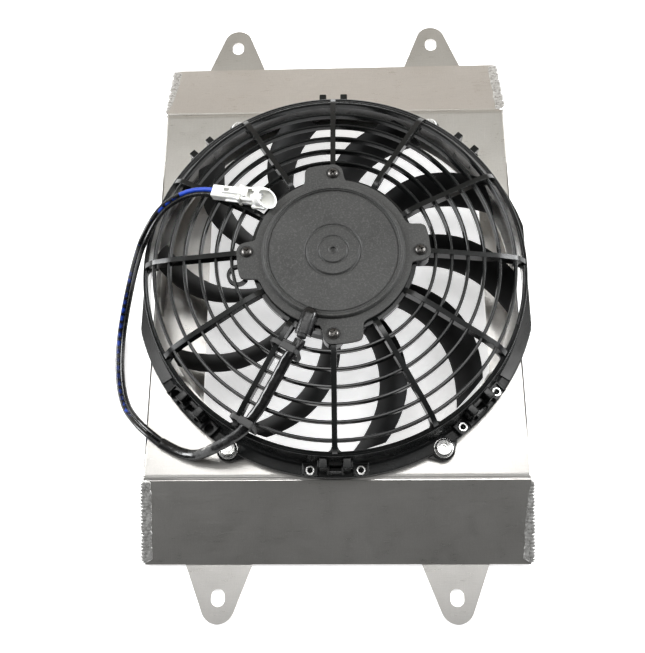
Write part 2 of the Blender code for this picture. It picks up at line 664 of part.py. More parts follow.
def brush_gear():
    base = 75.1
    holder = turned("brush_plate", ((43.4, base + 1.4), (43.4, base), (15.0, base), (15.0, base + 1.4)), "phenolic")
    walls = [box("wall", (33.0, -3.5, base + 0.7), (35.0, 3.5, base + 6.0), None, turn(90 + 180 * i)) for i in (0, 1)]
    combine(holder, "UNION", walls)
    shade(holder)
    for i, where in enumerate(("top", "bottom")):
        facing = turn(90 + 180 * i)
        box(f"brush_{where}", (12.6, -3.0, base + 1.8), (22.0, 3.0, base + 5.4), "carbon", facing)
        coil = []
        for k in range(25):
            a = math.radians(45.0 * k)
            coil.append(facing @ Vector((22.8 + 9.4 * k / 24, 1.3 * math.cos(a), base + 3.6 + 1.3 * math.sin(a))))
        tube(f"brush_spring_{where}", coil, 0.3, "steel", 0)


def blade_mesh(bm, rows=5, columns=3):
    """One swept, pitched blade as a grid from root to tip, later given its thickness."""
    grid = []
    for i in range(rows + 1):
        t = i / rows
        radius = BLADE_ROOT_R + (BLADE_TIP_R - BLADE_ROOT_R) * t
        lead = -25.8 * t**1.85
        width = 16.4 - 4.2 * t**0.4 - 1.8 * t**6
        row = []
        for j in range(columns + 1):
            s = j / columns
            angle = math.radians(lead - width * s)
            rise = 55.0 - (19.0 + 2.0 * t) * s + 3.0 * math.sin(math.pi * s) - 3.0 * t
            row.append(bm.verts.new(Vector((radius * math.cos(angle), radius * math.sin(angle), rise)) * MM))
        grid.append(row)
    for low, high in zip(grid, grid[1:]):
        for a, b, c, d in zip(low, low[1:], high[1:], high):
            bm.faces.new((a, b, c, d))


def impeller():
    low, high = HUB_Z
    inner = HUB_R - HUB_WALL
    hub = turned(
        "impeller",
        (
            (HUB_R - 0.5, high), (HUB_R, high - 0.8), (HUB_R, low + 4.0), (HUB_R - 4.0, low), (BORE_R, low),
            (BORE_R, low + 6.0), (10.0, low + 6.0), (10.0, low + 3.0), (inner - 2.0, low + 3.0), (inner, low + 5.5),
            (inner, high),
        ),
        "blade_plastic",
        3 * BLADES,
    )  # fmt: skip
    blades = []
    for i in range(BLADES):
        bm = bmesh.new()
        blade_mesh(bm)
        blade = from_bmesh(f"blade_{i}", bm, None, turn(BLADE_START + 360.0 * i / BLADES))
        solid = blade.modifiers.new("Thickness", "SOLIDIFY")
        solid.thickness = BLADE_THICK * MM
        solid.offset = 0.0
        blades.append(bake(blade))
    combine(hub, "UNION", blades)
    combine(hub, "DIFFERENCE", [rod("cup", inner - 0.05, low + 5.5, high + 5, sides=3 * BLADES)])
    shade(hub, 40)
    nut("impeller_nut", 7.0, low - GAP - 4.0, low - GAP, bore=BORE_R + 0.1)


def strain_relief():
    """A short rubber sleeve in the mouth of the cover's hood."""
    mouth = Vector((HOOD_REACH + GAP, 0.0, HOOD_Z)) * MM
    outward = turn(HOOD_ANGLE) @ Matrix.Translation(mouth) @ Matrix.Rotation(math.radians(90.0), 4, "Y")
    shade(turned("strain_relief", ((0.0, 3.0), (3.4, 3.0), (4.4, 1.8), (4.4, 0.0), (0.0, 0.0)), "rubber", 16, outward))


def sleeve_route():
    """Off the motor, along beside a spoke, over the rim and down to the shroud."""
    frame = turn(CABLE_SPOKE)
    beside = [frame @ Vector((radius, CABLE_OFFSET, z)) for radius, z in SLEEVE_BESIDE_SPOKE]
    return [*SLEEVE_START, *beside, *SLEEVE_END]


def cable():
    tube("cable_sleeve", smooth_route(sleeve_route(), 10.0), SLEEVE_R, "cable_black", 2)
    middle = smooth_route(WIRE_ROUTE, 10.0)
    for name, side, colour in (("wire_black", 1, "cable_black"), ("wire_blue", -1, "wire_blue")):
        points = []
        for i, point in enumerate(middle):
            ahead = middle[min(i + 1, len(middle) - 1)] - middle[max(i - 1, 0)]
            across = Vector((ahead.y, -ahead.x, 0.0)).normalized()
            points.append(point + across * side * WIRE_SPREAD)
        tube(name, points, WIRE_R, colour, 1)


def connector_axes():
    """A frame whose X axis runs from the connector's wire end to its mouth, starting at the wire end."""
    ahead = (CONNECTOR_FRONT - CONNECTOR_REAR).normalized()
    across = Vector((0.0, 0.0, 1.0)).cross(ahead).normalized()
    up = ahead.cross(across)
    axes = Matrix((ahead, across, up)).transposed().to_4x4()
    return Matrix.Translation(CONNECTOR_REAR * MM) @ axes


def connector():
    length = (CONNECTOR_FRONT - CONNECTOR_REAR).length
    frame = connector_axes()
    along = frame @ Matrix.Rotation(math.radians(90.0), 4, "Y")  # Z of a turned piece along the connector
    housing = box("connector_housing", (GAP, -5.6, -3.6), (24.0, 5.6, 4.0), "nylon_white", frame)
    parts = [
        box("mouth", (22.0, -7.0, -4.6), (length, 7.0, 6.6), None, frame),
        box("latch", (6.0, -2.4, 3.0), (30.0, 2.4, 7.6), None, frame),
    ]
    combine(housing, "UNION", parts)
    well = turned("well", ((0.0, length + 3), (4.4, length + 3), (4.4, 30.0), (0.0, 30.0)), None, 20, along)
    cavities = [rod("cavity", 1.3, 28.0, 31.0, sides=10) for _ in (0, 1)]
    for cavity, side in zip(cavities, (-1, 1)):
        cavity.matrix_world = along @ Matrix.Translation((0.0, side * 2.0 * MM, 0.0))
    combine(housing, "DIFFERENCE", [well, *cavities])
    shade(housing)
    for name, side in (("terminal_black", 1), ("terminal_blue", -1)):
        box(name, (28.6, side * 2.0 - 0.8, -0.4), (40.0, side * 2.0 + 0.8, 0.4), "tin", frame)


def height_at(outline, radius):
    """Height at a radius on a line of (radius, height) points."""
    points = sorted(outline)
    for (r0, z0), (r1, z1) in zip(points, points[1:]):
        if r0 <= radius <= r1:
            return z0 + (z1 - z0) * (radius - r0) / (r1 - r0)
    raise ValueError("radius outside the line")


def cable_ties():
    """Each tie loops round the spoke and the sleeve beside it."""
    wall, half_width, slack = 1.1, 1.6, 0.7
    for i, (radius, middle, far, head_at) in enumerate(TIES):
        low = min(height_at(SPOKE_FOOT, radius + side * half_width) for side in (-1, 1)) - slack
        high = middle + SLEEVE_R + slack
        near = -SPOKE_HALF - GAP - 0.1
        inner = [(near, low), (far, low), (far, high), (near, high)]
        outer = [(near - wall, low - wall), (far + wall, low - wall), (far + wall, high + wall), (near - wall, high + wall)]
        # Drawn across the spoke and upright, with the band's width along the spoke.
        across = Matrix(((0, 0, 1, 0), (1, 0, 0, 0), (0, 1, 0, 0), (0, 0, 0, 1)))
        stand = turn(CABLE_SPOKE) @ Matrix.Translation((radius * MM, 0.0, 0.0)) @ across
        tie = plate(f"cable_tie_{i + 1}", [outer, inner], -half_width, half_width, "tie_nylon", stand)
        head = box("head", (head_at - 5.2, high + 0.4, -2.4), (head_at + 5.2, high + 3.4, 2.4), None, stand)
        combine(tie, "UNION", [head])


clear_scene()
PARTS = new_collection("fan_and_shroud")
HELPERS = new_collection("helpers")

shroud()
ears()
weld_beads()
fan_housing()
thread_inserts()
mounting_bolts()
motor_cover()
cover_screws()
motor()
armature()
brush_gear()
impeller()
strain_relief()
cable()
connector()
cable_ties()
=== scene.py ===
"""Looks of the electric fan on its aluminium shroud: fine pieces, materials, light and camera."""

import json
import math
import random

import bmesh
import bpy
from mathutils import Matrix, Vector


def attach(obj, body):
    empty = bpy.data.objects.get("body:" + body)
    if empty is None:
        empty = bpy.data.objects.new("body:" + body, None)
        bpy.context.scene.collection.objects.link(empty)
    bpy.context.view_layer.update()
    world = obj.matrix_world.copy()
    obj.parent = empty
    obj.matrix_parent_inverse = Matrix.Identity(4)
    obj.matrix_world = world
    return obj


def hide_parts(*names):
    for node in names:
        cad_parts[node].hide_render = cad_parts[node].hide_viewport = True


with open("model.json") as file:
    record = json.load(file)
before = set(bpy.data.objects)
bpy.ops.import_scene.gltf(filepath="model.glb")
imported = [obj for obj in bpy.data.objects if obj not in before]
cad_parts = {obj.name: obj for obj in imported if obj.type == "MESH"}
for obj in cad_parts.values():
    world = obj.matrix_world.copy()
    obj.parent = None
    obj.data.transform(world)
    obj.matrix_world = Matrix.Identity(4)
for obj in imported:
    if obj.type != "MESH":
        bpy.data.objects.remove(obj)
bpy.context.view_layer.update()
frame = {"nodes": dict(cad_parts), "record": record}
nodes = frame["nodes"]

MM = 0.001
BODY, ROTOR = "chassis", "rotor"
GAP = 0.3

# ---------------------------------------------------------------- camera

CAMERA_AT = (0.01090, -0.23985, 0.64028)
CAMERA_TILT, CAMERA_ROLL, CAMERA_PAN = 18.229, 1.834, -0.607
LENS, SENSOR = 46.23, 36.0

camera = bpy.data.objects.new("camera", bpy.data.cameras.new("camera"))
bpy.context.scene.collection.objects.link(camera)
camera.location = CAMERA_AT
camera.rotation_mode = "ZYX"
camera.rotation_euler = [math.radians(a) for a in (CAMERA_TILT, CAMERA_ROLL, CAMERA_PAN)]
camera.data.sensor_fit = "HORIZONTAL"
camera.data.sensor_width = SENSOR
camera.data.lens = LENS
camera.data.clip_start = 0.01
camera.data.clip_end = 20.0
bpy.context.scene.camera = camera
bpy.context.scene.view_settings.view_transform = "Standard"

# ---------------------------------------------------------------- materials


class Shader:
    """A Principled material with short calls for procedural detail in object coordinates (metres)."""

    def __init__(self, name, colour, roughness, metallic=0.0, **values):
        self.material = bpy.data.materials.new(name)
        self.material.use_nodes = True
        self.tree = self.material.node_tree
        self.nodes, self.links = self.tree.nodes, self.tree.links
        self.base = self.nodes["Principled BSDF"]
        self.base.inputs["Base Color"].default_value = (*colour, 1.0)
        self.base.inputs["Roughness"].default_value = roughness
        self.base.inputs["Metallic"].default_value = metallic
        for key, value in values.items():
            self.base.inputs[key.replace("_", " ")].default_value = value
        self.coordinates = self.nodes.new("ShaderNodeTexCoord").outputs["Object"]
        self.normal = None

    def mapped(self, scale, rotation=(0.0, 0.0, 0.0)):
        mapping = self.nodes.new("ShaderNodeMapping")
        mapping.inputs["Scale"].default_value = scale
        mapping.inputs["Rotation"].default_value = rotation
        self.links.new(self.coordinates, mapping.inputs["Vector"])
        return mapping.outputs["Vector"]

    def noise(self, scale, detail=3.0, roughness=0.5, vector=None, distortion=0.0):
        node = self.nodes.new("ShaderNodeTexNoise")
        node.inputs["Scale"].default_value = scale
        node.inputs["Detail"].default_value = detail
        node.inputs["Roughness"].default_value = roughness
        node.inputs["Distortion"].default_value = distortion
        self.links.new(vector or self.coordinates, node.inputs["Vector"])
        return node.outputs["Fac"]

    def span(self, value, low, high, to_low=0.0, to_high=1.0):
        node = self.nodes.new("ShaderNodeMapRange")
        for key, number in (("From Min", low), ("From Max", high), ("To Min", to_low), ("To Max", to_high)):
            node.inputs[key].default_value = number
        self.links.new(value, node.inputs["Value"])
        return node.outputs["Result"]

    def mix(self, factor, first, second):
        """A colour between two, each a colour or an output."""
        node = self.nodes.new("ShaderNodeMix")
        node.data_type = "RGBA"
        for socket, value in ((node.inputs[6], first), (node.inputs[7], second)):
            if isinstance(value, tuple):
                socket.default_value = (*value, 1.0)
            else:
                self.links.new(value, socket)
        self.links.new(factor, node.inputs[0])
        return node.outputs[2]

    def maths(self, operation, first, second):
        node = self.nodes.new("ShaderNodeMath")
        node.operation = operation
        for socket, value in zip(node.inputs, (first, second)):
            if isinstance(value, float):
                socket.default_value = value
            else:
                self.links.new(value, socket)
        return node.outputs[0]

    def colour(self, output):
        self.links.new(output, self.base.inputs["Base Color"])

    def rough(self, output):
        self.links.new(output, self.base.inputs["Roughness"])

    def bump(self, height, strength, distance):
        node = self.nodes.new("ShaderNodeBump")
        node.inputs["Strength"].default_value = strength
        node.inputs["Distance"].default_value = distance
        self.links.new(height, node.inputs["Height"])
        if self.normal:
            self.links.new(self.normal, node.inputs["Normal"])
        self.normal = node.outputs["Normal"]
        self.links.new(self.normal, self.base.inputs["Normal"])


def sheet_metal():
    """Mill-finish sheet: fine rolling lines, soft cloudy stains, rubbed patches and a few scratches."""
    s = Shader("aluminium", (0.72, 0.70, 0.66), 0.42, 1.0)
    cloud = s.noise(9.0, 4.0, 0.6)
    smudge = s.noise(34.0, 5.0, 0.65, distortion=1.2)
    lines = s.noise(1.0, 3.0, 0.6, s.mapped((60.0, 2600.0, 400.0)))
    grain = s.noise(1100.0, 3.0, 0.75)
    brushed = s.noise(1.0, 2.0, 0.6, s.mapped((2400.0, 90.0, 300.0)))
    scratch = s.noise(1.0, 2.0, 0.4, s.mapped((2200.0, 26.0, 60.0), (0.0, 0.0, 0.5)))
    tone = s.mix(s.span(cloud, 0.3, 0.7), (0.74, 0.72, 0.69), (0.84, 0.82, 0.79))
    tone = s.mix(s.span(smudge, 0.55, 0.75, 0.0, 0.22), tone, (0.55, 0.53, 0.49))
    tone = s.mix(s.span(lines, 0.3, 0.75, 0.0, 0.38), tone, (0.58, 0.57, 0.55))
    tone = s.mix(s.span(brushed, 0.3, 0.75, 0.0, 0.28), tone, (0.60, 0.59, 0.57))
    tone = s.mix(s.span(grain, 0.45, 0.7, 0.0, 0.22), tone, (0.92, 0.91, 0.89))
    tone = s.mix(s.span(scratch, 0.70, 0.76, 0.0, 0.35), tone, (0.92, 0.91, 0.90))
    s.colour(tone)
    rough = s.span(smudge, 0.35, 0.7, 0.29, 0.33)
    s.rough(s.maths("ADD", rough, s.span(lines, 0.2, 0.8, -0.05, 0.06)))
    s.bump(lines, 0.25, 0.00004)
    s.bump(brushed, 0.20, 0.00003)
    s.bump(grain, 0.22, 0.00003)
    return s.material


def weld_metal():
    s = Shader("weld", (0.62, 0.615, 0.60), 0.36, 0.72)
    spots = s.noise(420.0, 3.0, 0.6)
    s.colour(s.mix(s.span(spots, 0.4, 0.65), (0.42, 0.415, 0.40), (0.66, 0.655, 0.64)))
    s.rough(s.span(spots, 0.35, 0.7, 0.24, 0.42))
    s.bump(spots, 0.25, 0.0001)
    return s.material


def moulded(name, colour, roughness, dust=0.0, grain=0.10, **values):
    """Filled nylon: flow-line sheen, a fine skin and, where wanted, pale dust."""
    s = Shader(name, colour, roughness, 0.0, **values)
    flow = s.noise(26.0, 4.0, 0.55, distortion=0.6)
    skin = s.noise(1800.0, 2.0, 0.6)
    wear = s.noise(160.0, 4.0, 0.6)
    pale = tuple(min(1.0, c * 1.6 + 0.003) for c in colour)
    tone = s.mix(s.span(flow, 0.35, 0.7, 0.0, 0.5), colour, pale)
    s.colour(s.mix(s.span(wear, 0.60, 0.80, 0.0, dust), tone, (0.16, 0.16, 0.155)))
    s.rough(s.span(flow, 0.3, 0.7, roughness - 0.06, roughness + 0.09))
    s.bump(skin, grain, 0.00004)
    return s.material


def painted():
    """Textured dark grey paint on the motor's cover."""
    s = Shader("motor_paint", (0.028, 0.028, 0.027), 0.50, 0.0)
    fine = s.noise(850.0, 3.0, 0.7)
    broad = s.noise(22.0, 4.0, 0.6)
    tone = s.mix(s.span(broad, 0.3, 0.7), (0.022, 0.022, 0.0212), (0.040, 0.040, 0.0385))
    s.colour(s.mix(s.span(fine, 0.50, 0.68, 0.0, 0.65), tone, (0.085, 0.085, 0.081)))
    s.rough(s.span(broad, 0.3, 0.7, 0.46, 0.58))
    s.bump(fine, 0.55, 0.00012)
    return s.material


def plated(name, colour, roughness, spot=0.25):
    s = Shader(name, colour, roughness, 1.0)
    mottle = s.noise(700.0, 3.0, 0.6)
    dull = tuple(c * 0.72 for c in colour)
    s.colour(s.mix(s.span(mottle, 0.45, 0.7, 0.0, spot * 2), colour, dull))
    s.rough(s.span(mottle, 0.35, 0.7, roughness - 0.05, roughness + 0.12))
    s.bump(mottle, 0.10, 0.00004)
    return s.material


def soft(name, colour, roughness, mark=0.12):
    """Cable skin, sleeving and rubber."""
    s = Shader(name, colour, roughness)
    rub = s.noise(240.0, 4.0, 0.6)
    pale = tuple(min(1.0, c * 1.4 + 0.006) for c in colour)
    s.colour(s.mix(s.span(rub, 0.45, 0.75, 0.0, mark * 4), colour, pale))
    s.rough(s.span(rub, 0.35, 0.7, roughness - 0.05, roughness + 0.12))
    s.bump(rub, mark, 0.00006)
    return s.material


def white_nylon():
    s = Shader("nylon_white", (0.86, 0.86, 0.83), 0.30)
    s.base.inputs["Subsurface Weight"].default_value = 0.18
    s.base.inputs["Subsurface Radius"].default_value = (0.004, 0.004, 0.003)
    flow = s.noise(120.0, 3.0, 0.6)
    s.colour(s.mix(s.span(flow, 0.35, 0.7), (0.82, 0.82, 0.79), (0.90, 0.90, 0.87)))
    s.rough(s.span(flow, 0.35, 0.7, 0.26, 0.40))
    s.bump(flow, 0.08, 0.0001)
    return s.material


def copper_wire():
    """Fine turns round the windings."""
    s = Shader("copper", (0.72, 0.38, 0.22), 0.32, 1.0)
    turns = s.noise(1.0, 1.0, 0.4, s.mapped((2500.0, 2500.0, 300.0)))
    s.colour(s.mix(s.span(turns, 0.35, 0.65), (0.45, 0.20, 0.10), (0.80, 0.45, 0.27)))
    s.bump(turns, 0.6, 0.0003)
    return s.material


LOOKS = {
    "aluminium": sheet_metal(),
    "weld": weld_metal(),
    "fan_plastic": moulded("fan_plastic", (0.0035, 0.004, 0.004), 0.22, dust=0.04, Specular_IOR_Level=0.42),
    "blade_plastic": moulded(
        "blade_plastic", (0.0016, 0.0017, 0.0018), 0.46, dust=0.02, Specular_IOR_Level=0.22
    ),
    "motor_paint": painted(),
    "bright_zinc": plated("bright_zinc", (0.80, 0.80, 0.79), 0.20),
    "dark_zinc": plated("dark_zinc", (0.11, 0.105, 0.10), 0.34),
    "can_steel": plated("can_steel", (0.42, 0.45, 0.47), 0.28),
    "bearing_steel": plated("bearing_steel", (0.58, 0.58, 0.59), 0.22),
    "lamination": plated("lamination", (0.32, 0.32, 0.33), 0.42),
    "ferrite": moulded("ferrite", (0.03, 0.03, 0.032), 0.62),
    "copper": copper_wire(),
    "phenolic": moulded("phenolic", (0.20, 0.09, 0.04), 0.50),
    "carbon": moulded("carbon", (0.02, 0.02, 0.02), 0.70),
    "rubber": soft("rubber", (0.016, 0.016, 0.016), 0.60),
    "cable_black": soft("cable_black", (0.003, 0.003, 0.0032), 0.24, 0.02),
    "wire_blue": soft("wire_blue", (0.012, 0.055, 0.42), 0.34, 0.05),
    "nylon_white": white_nylon(),
    "tin": plated("tin", (0.72, 0.72, 0.70), 0.25),
    "tie_nylon": moulded("tie_nylon", (0.035, 0.035, 0.035), 0.42, dust=0.15),
}

slot_of = {entry["node"]: entry["material_slot"] for entry in frame["record"]["subparts"]}
for node_name, node in nodes.items():
    node.data.materials.clear()
    node.data.materials.append(LOOKS[slot_of[node_name]])

# ---------------------------------------------------------------- modelling helpers


def link(name, mesh, slot=None, matrix=None):
    obj = bpy.data.objects.new(name, mesh)
    bpy.context.scene.collection.objects.link(obj)
    if slot:
        mesh.materials.clear()
        mesh.materials.append(LOOKS[slot])
    if matrix:
        obj.matrix_world = matrix
    return obj


def finish_bmesh(name, bm, slot=None, matrix=None):
    bmesh.ops.recalc_face_normals(bm, faces=bm.faces)
    mesh = bpy.data.meshes.new(name)
    bm.to_mesh(mesh)
    bm.free()
    return link(name, mesh, slot, matrix)


def bake(obj, weld=1e-6):
    """The object's modifiers, or its curve, made a plain closed mesh."""
    bpy.context.view_layer.update()
    mesh = bpy.data.meshes.new_from_object(obj.evaluated_get(bpy.context.evaluated_depsgraph_get()))
    bm = bmesh.new()
    bm.from_mesh(mesh)
    bmesh.ops.remove_doubles(bm, verts=bm.verts, dist=weld)
    bmesh.ops.recalc_face_normals(bm, faces=bm.faces)
    bm.to_mesh(mesh)
    bm.free()
    if obj.type == "MESH":
        obj.modifiers.clear()
        obj.data = mesh
        return obj
    name, matrix = obj.name, obj.matrix_world.copy()
    bpy.data.objects.remove(obj, do_unlink=True)
    return link(name, mesh, None, matrix)


def combine(obj, operation, others):
    group = bpy.data.collections.new("operands")
    bpy.context.scene.collection.children.link(group)
    for other in others:
        group.objects.link(other)
    modifier = obj.modifiers.new("join", "BOOLEAN")
    modifier.operation = operation
    modifier.operand_type = "COLLECTION"
    modifier.collection = group
    modifier.solver = "EXACT"
    bake(obj)
    for other in others:
        bpy.data.objects.remove(other, do_unlink=True)
    bpy.data.collections.remove(group)
    return obj


def rounded(obj, width, segments=2, angle=30.0):
    modifier = obj.modifiers.new("edges", "BEVEL")
    modifier.width = width * MM
    modifier.segments = segments
    modifier.limit_method = "ANGLE"
    modifier.angle_limit = math.radians(angle)
    modifier.use_clamp_overlap = True
    return bake(obj)


def smooth(obj, angle=35.0):
    """Smooth shading that leaves flat faces flat."""
    obj.data.shade_smooth()
    obj.data.set_sharp_from_angle(angle=math.radians(angle))
    modifier = obj.modifiers.new("normals", "WEIGHTED_NORMAL")
    modifier.keep_sharp = True
    modifier.weight = 100
    bpy.context.view_layer.update()
    mesh = bpy.data.meshes.new_from_object(obj.evaluated_get(bpy.context.evaluated_depsgraph_get()))
    obj.modifiers.clear()
    obj.data = mesh
    return obj


def turned(name, profile, slot=None, steps=128, matrix=None):
    on_axis = profile[0][0] < 1e-6
    mesh = bpy.data.meshes.new(name)
    edges = [(i, i + 1) for i in range(len(profile) - 1)]
    if not on_axis:
        edges.append((len(profile) - 1, 0))
    mesh.from_pydata([(r * MM, 0.0, z * MM) for r, z in profile], edges, [])
    obj = link(name, mesh, slot, matrix)
    screw = obj.modifiers.new("turn", "SCREW")
    screw.steps = screw.render_steps = steps
    screw.use_merge_vertices = True
    screw.merge_threshold = 1e-6
    return bake(obj)


def fillet(profile, radius, points=3):
    """The profile with its inner corners rounded by short arcs of about this size."""
    out = [profile[0]]
    for before, corner, after in zip(profile, profile[1:], profile[2:]):
        a, b, c = Vector(before), Vector(corner), Vector(after)
        one, two = a - b, c - b
        cut = min(radius, one.length * 0.45, two.length * 0.45)
        start, end = b + one.normalized() * cut, b + two.normalized() * cut
        for i in range(points):
            t = i / (points - 1)
            out.append(tuple((1 - t) ** 2 * start + 2 * t * (1 - t) * b + t * t * end))
    out.append(profile[-1])
    return out


def rod(name, radius, low, high, slot=None, at=(0.0, 0.0), sides=48, bore=0.0):
    if bore:
        profile = ((radius, high), (radius, low), (bore, low), (bore, high))
    else:
        profile = ((0.0, high), (radius, high), (radius, low), (0.0, low))
    return turned(name, profile, slot, sides, Matrix.Translation((at[0] * MM, at[1] * MM, 0.0)))


def box(name, low, high, slot=None, matrix=None):
    low, high = Vector(low) * MM, Vector(high) * MM
    bm = bmesh.new()
    bmesh.ops.create_cube(bm, size=1.0)
    for vertex in bm.verts:
        vertex.co = [(low[i] + high[i]) / 2 + vertex.co[i] * (high[i] - low[i]) for i in range(3)]
    return finish_bmesh(name, bm, slot, matrix)


def plate(name, loops, low, high, slot=None, matrix=None):
    curve = bpy.data.curves.new(name, "CURVE")
    curve.dimensions = "2D"
    curve.fill_mode = "BOTH"
    curve.extrude = (high - low) / 2 * MM
    for loop in loops:
        spline = curve.splines.new("POLY")
        spline.points.add(len(loop) - 1)
        for point, (x, y) in zip(spline.points, loop):
            point.co = (x * MM, y * MM, 0.0, 1.0)
        spline.use_cyclic_u = True
    obj = bpy.data.objects.new(name, curve)
    bpy.context.scene.collection.objects.link(obj)
    obj.matrix_world = (matrix or Matrix.Identity(4)) @ Matrix.Translation((0.0, 0.0, (low + high) / 2 * MM))
    obj = bake(obj)
    if slot:
        obj.data.materials.clear()
        obj.data.materials.append(LOOKS[slot])
    return obj


def loft(name, rings, slot=None, matrix=None, closed=False):
    """A skin over rings of equal point counts, capped at both ends unless closed on itself."""
    bm = bmesh.new()
    rows = [[bm.verts.new(Vector(p) * MM) for p in ring] for ring in rings]
    count = len(rows[0])
    pairs = list(zip(rows, rows[1:])) + ([(rows[-1], rows[0])] if closed else [])
    for first, second in pairs:
        for j in range(count):
            k = (j + 1) % count
            bm.faces.new((first[j], first[k], second[k], second[j]))
    if not closed:
        bm.faces.new(rows[0])
        bm.faces.new(list(reversed(rows[-1])))
    return finish_bmesh(name, bm, slot, matrix)


def arc(cx, cy, radius, start, end, count):
    angles = [math.radians(start + (end - start) * i / (count - 1)) for i in range(count)]
    return [(cx + radius * math.cos(a), cy + radius * math.sin(a)) for a in angles]


def circle(cx, cy, radius, count):
    return arc(cx, cy, radius, 0.0, 360.0 * (count - 1) / count, count)


def turn(degrees):
    return Matrix.Rotation(math.radians(degrees), 4, "Z")


def on_circle(radius, degrees):
    a = math.radians(degrees)
    return radius * math.cos(a), radius * math.sin(a)


def smooth_route(points, step):
    points = [Vector(p) for p in points]
    padded = [2 * points[0] - points[1], *points, 2 * points[-1] - points[-2]]
    dense = []
    for a, b, c, d in zip(padded, padded[1:], padded[2:], padded[3:]):
        for i in range(12):
            t = i / 12
            dense.append(
                0.5 * (
                    2 * b + (c - a) * t + (2 * a - 5 * b + 4 * c - d) * t**2 + (3 * b - a - 3 * c + d) * t**3
                )
            )
    dense.append(points[-1])
    along = [0.0]
    for a, b in zip(dense, dense[1:]):
        along.append(along[-1] + (b - a).length)
    count = max(2, round(along[-1] / step) + 1)
    spaced, j = [], 0
    for i in range(count):
        wanted = along[-1] * i / (count - 1)
        while j < len(along) - 2 and along[j + 1] < wanted:
            j += 1
        share = (wanted - along[j]) / max(along[j + 1] - along[j], 1e-9)
        spaced.append(dense[j].lerp(dense[j + 1], min(share, 1.0)))
    return spaced


def keep(obj, body, slot, *replaced):
    """The piece rides on its body, takes the record's slot and stands for these CAD nodes."""
    if not obj.data.materials:
        obj.data.materials.append(LOOKS[slot])
    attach(obj, body)
    if replaced:
        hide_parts(*replaced)
    return obj


# ---------------------------------------------------------------- cords, first

SLEEVE_R, WIRE_R, WIRE_SPREAD = 4.0, 1.8, 1.83
CABLE_SPOKE, CABLE_OFFSET = 240.0, 12.3
HOOD_ANGLE, HOOD_Z, HOOD_REACH = 251.2, 90.2, 67.4
SLEEVE_START = ((-23.2, -68.3, 90.2), (-23.9, -70.4, 90.2), (-25.9, -73.2, 90.0), (-29.2, -77.0, 89.2))
SLEEVE_BESIDE_SPOKE = ((86.5, 87.4), (98.0, 84.2), (110.0, 82.0), (122.5, 79.0))
SLEEVE_END = (
    (-56.4, -119.6, 76.4), (-60.8, -125.0, 73.2), (-65.6, -129.0, 69.2), (-72.2, -132.0, 63.6),
    (-80.0, -135.0, 57.8), (-87.5, -137.4, 51.6), (-96.0, -139.0, 42.4), (-105.0, -139.2, 35.0),
    (-117.0, -135.8, 30.6), (-130.4, -129.0, 29.2),
)  # fmt: skip
WIRE_ROUTE = (
    (-130.9, -128.7, 29.0), (-141.0, -121.0, 27.8), (-151.0, -112.0, 23.0), (-163.0, -98.0, 12.0),
    (-170.5, -80.0, 5.0), (-174.0, -60.0, 2.4), (-173.8, -38.0, 4.6), (-169.4, -18.0, 14.0),
    (-162.0, -2.0, 31.0), (-153.8, 8.5, 50.0), (-146.0, 17.0, 65.6), (-138.0, 30.0, 72.6),
    (-128.5, 42.4, 75.6), (-115.0, 50.2, 78.6), (-102.0, 51.9, 82.2), (-90.2, 50.0, 85.2),
)  # fmt: skip
CONNECTOR_REAR = Vector((-89.9, 49.9, 85.3))
CONNECTOR_FRONT = Vector((-46.0, 39.2, 94.0))


def sleeve_points(step):
    spoke_frame = turn(CABLE_SPOKE)
    beside = [spoke_frame @ Vector((radius, CABLE_OFFSET, z)) for radius, z in SLEEVE_BESIDE_SPOKE]
    return smooth_route([*SLEEVE_START, *beside, *SLEEVE_END], step)


def across_line(points, i):
    ahead = points[min(i + 1, len(points) - 1)] - points[max(i - 1, 0)]
    return Vector((ahead.y, -ahead.x, 0.0)).normalized()


def wire_line(side, step=7.0):
    """The middle of one wire: inside the sleeve from the hood, then bare to the plug."""
    inside, bare = sleeve_points(step), smooth_route(WIRE_ROUTE, step)
    points = inside[:-1] + bare
    return [p + across_line(points, i) * side * WIRE_SPREAD for i, p in enumerate(points)]


def line_length(points):
    return sum((b - a).length for a, b in zip(points, points[1:])) * MM


def wire(name, side, slot):
    line = wire_line(side)
    curve = bpy.data.curves.new(name, "CURVE")
    curve.dimensions = "3D"
    curve.bevel_depth = WIRE_R * MM
    curve.bevel_resolution = 4
    curve.use_fill_caps = True
    spline = curve.splines.new("POLY")
    spline.points.add(len(line) - 1)
    for point, at in zip(spline.points, line):
        point.co = (*(at * MM), 1.0)
    curve.materials.append(LOOKS[slot])
    obj = bpy.data.objects.new(name, curve)
    bpy.context.scene.collection.objects.link(obj)
    return obj, line


def sleeve():
    """Soft sleeving drawn over two wires: an oval with a shallow valley between them."""
    middle = sleeve_points(2.5)
    rings = []
    for i, point in enumerate(middle):
        t = i / (len(middle) - 1)
        across = across_line(middle, i)
        ahead = (middle[min(i + 1, len(middle) - 1)] - middle[max(i - 1, 0)]).normalized()
        up = across.cross(ahead).normalized()
        if up.z < 0:
            up = -up
        twist = math.radians(5.0 * math.sin(5.0 * t))
        side = across * math.cos(twist) + up * math.sin(twist)
        rise = up * math.cos(twist) - across * math.sin(twist)
        valley = 0.55 * max(0.0, 1.0 - 1.6 * t) + 0.12 * (1 + math.sin(23.0 * t)) * 0.5
        ring = []
        for k in range(28):
            a = 2 * math.pi * k / 28
            u = math.cos(a) * 4.05
            v = math.sin(a) * (2.95 - valley * math.exp(-((u / 1.15) ** 2)))
            crease = 0.05 * math.sin(1.7 * i + 2.0 * math.sin(3 * a))
            ring.append(point + side * u * (1 + crease * 0.3) + rise * v * (1 + crease))
        rings.append(ring)
    return smooth(loft("cable_sleeve_fine", rings, "cable_black"), 50)


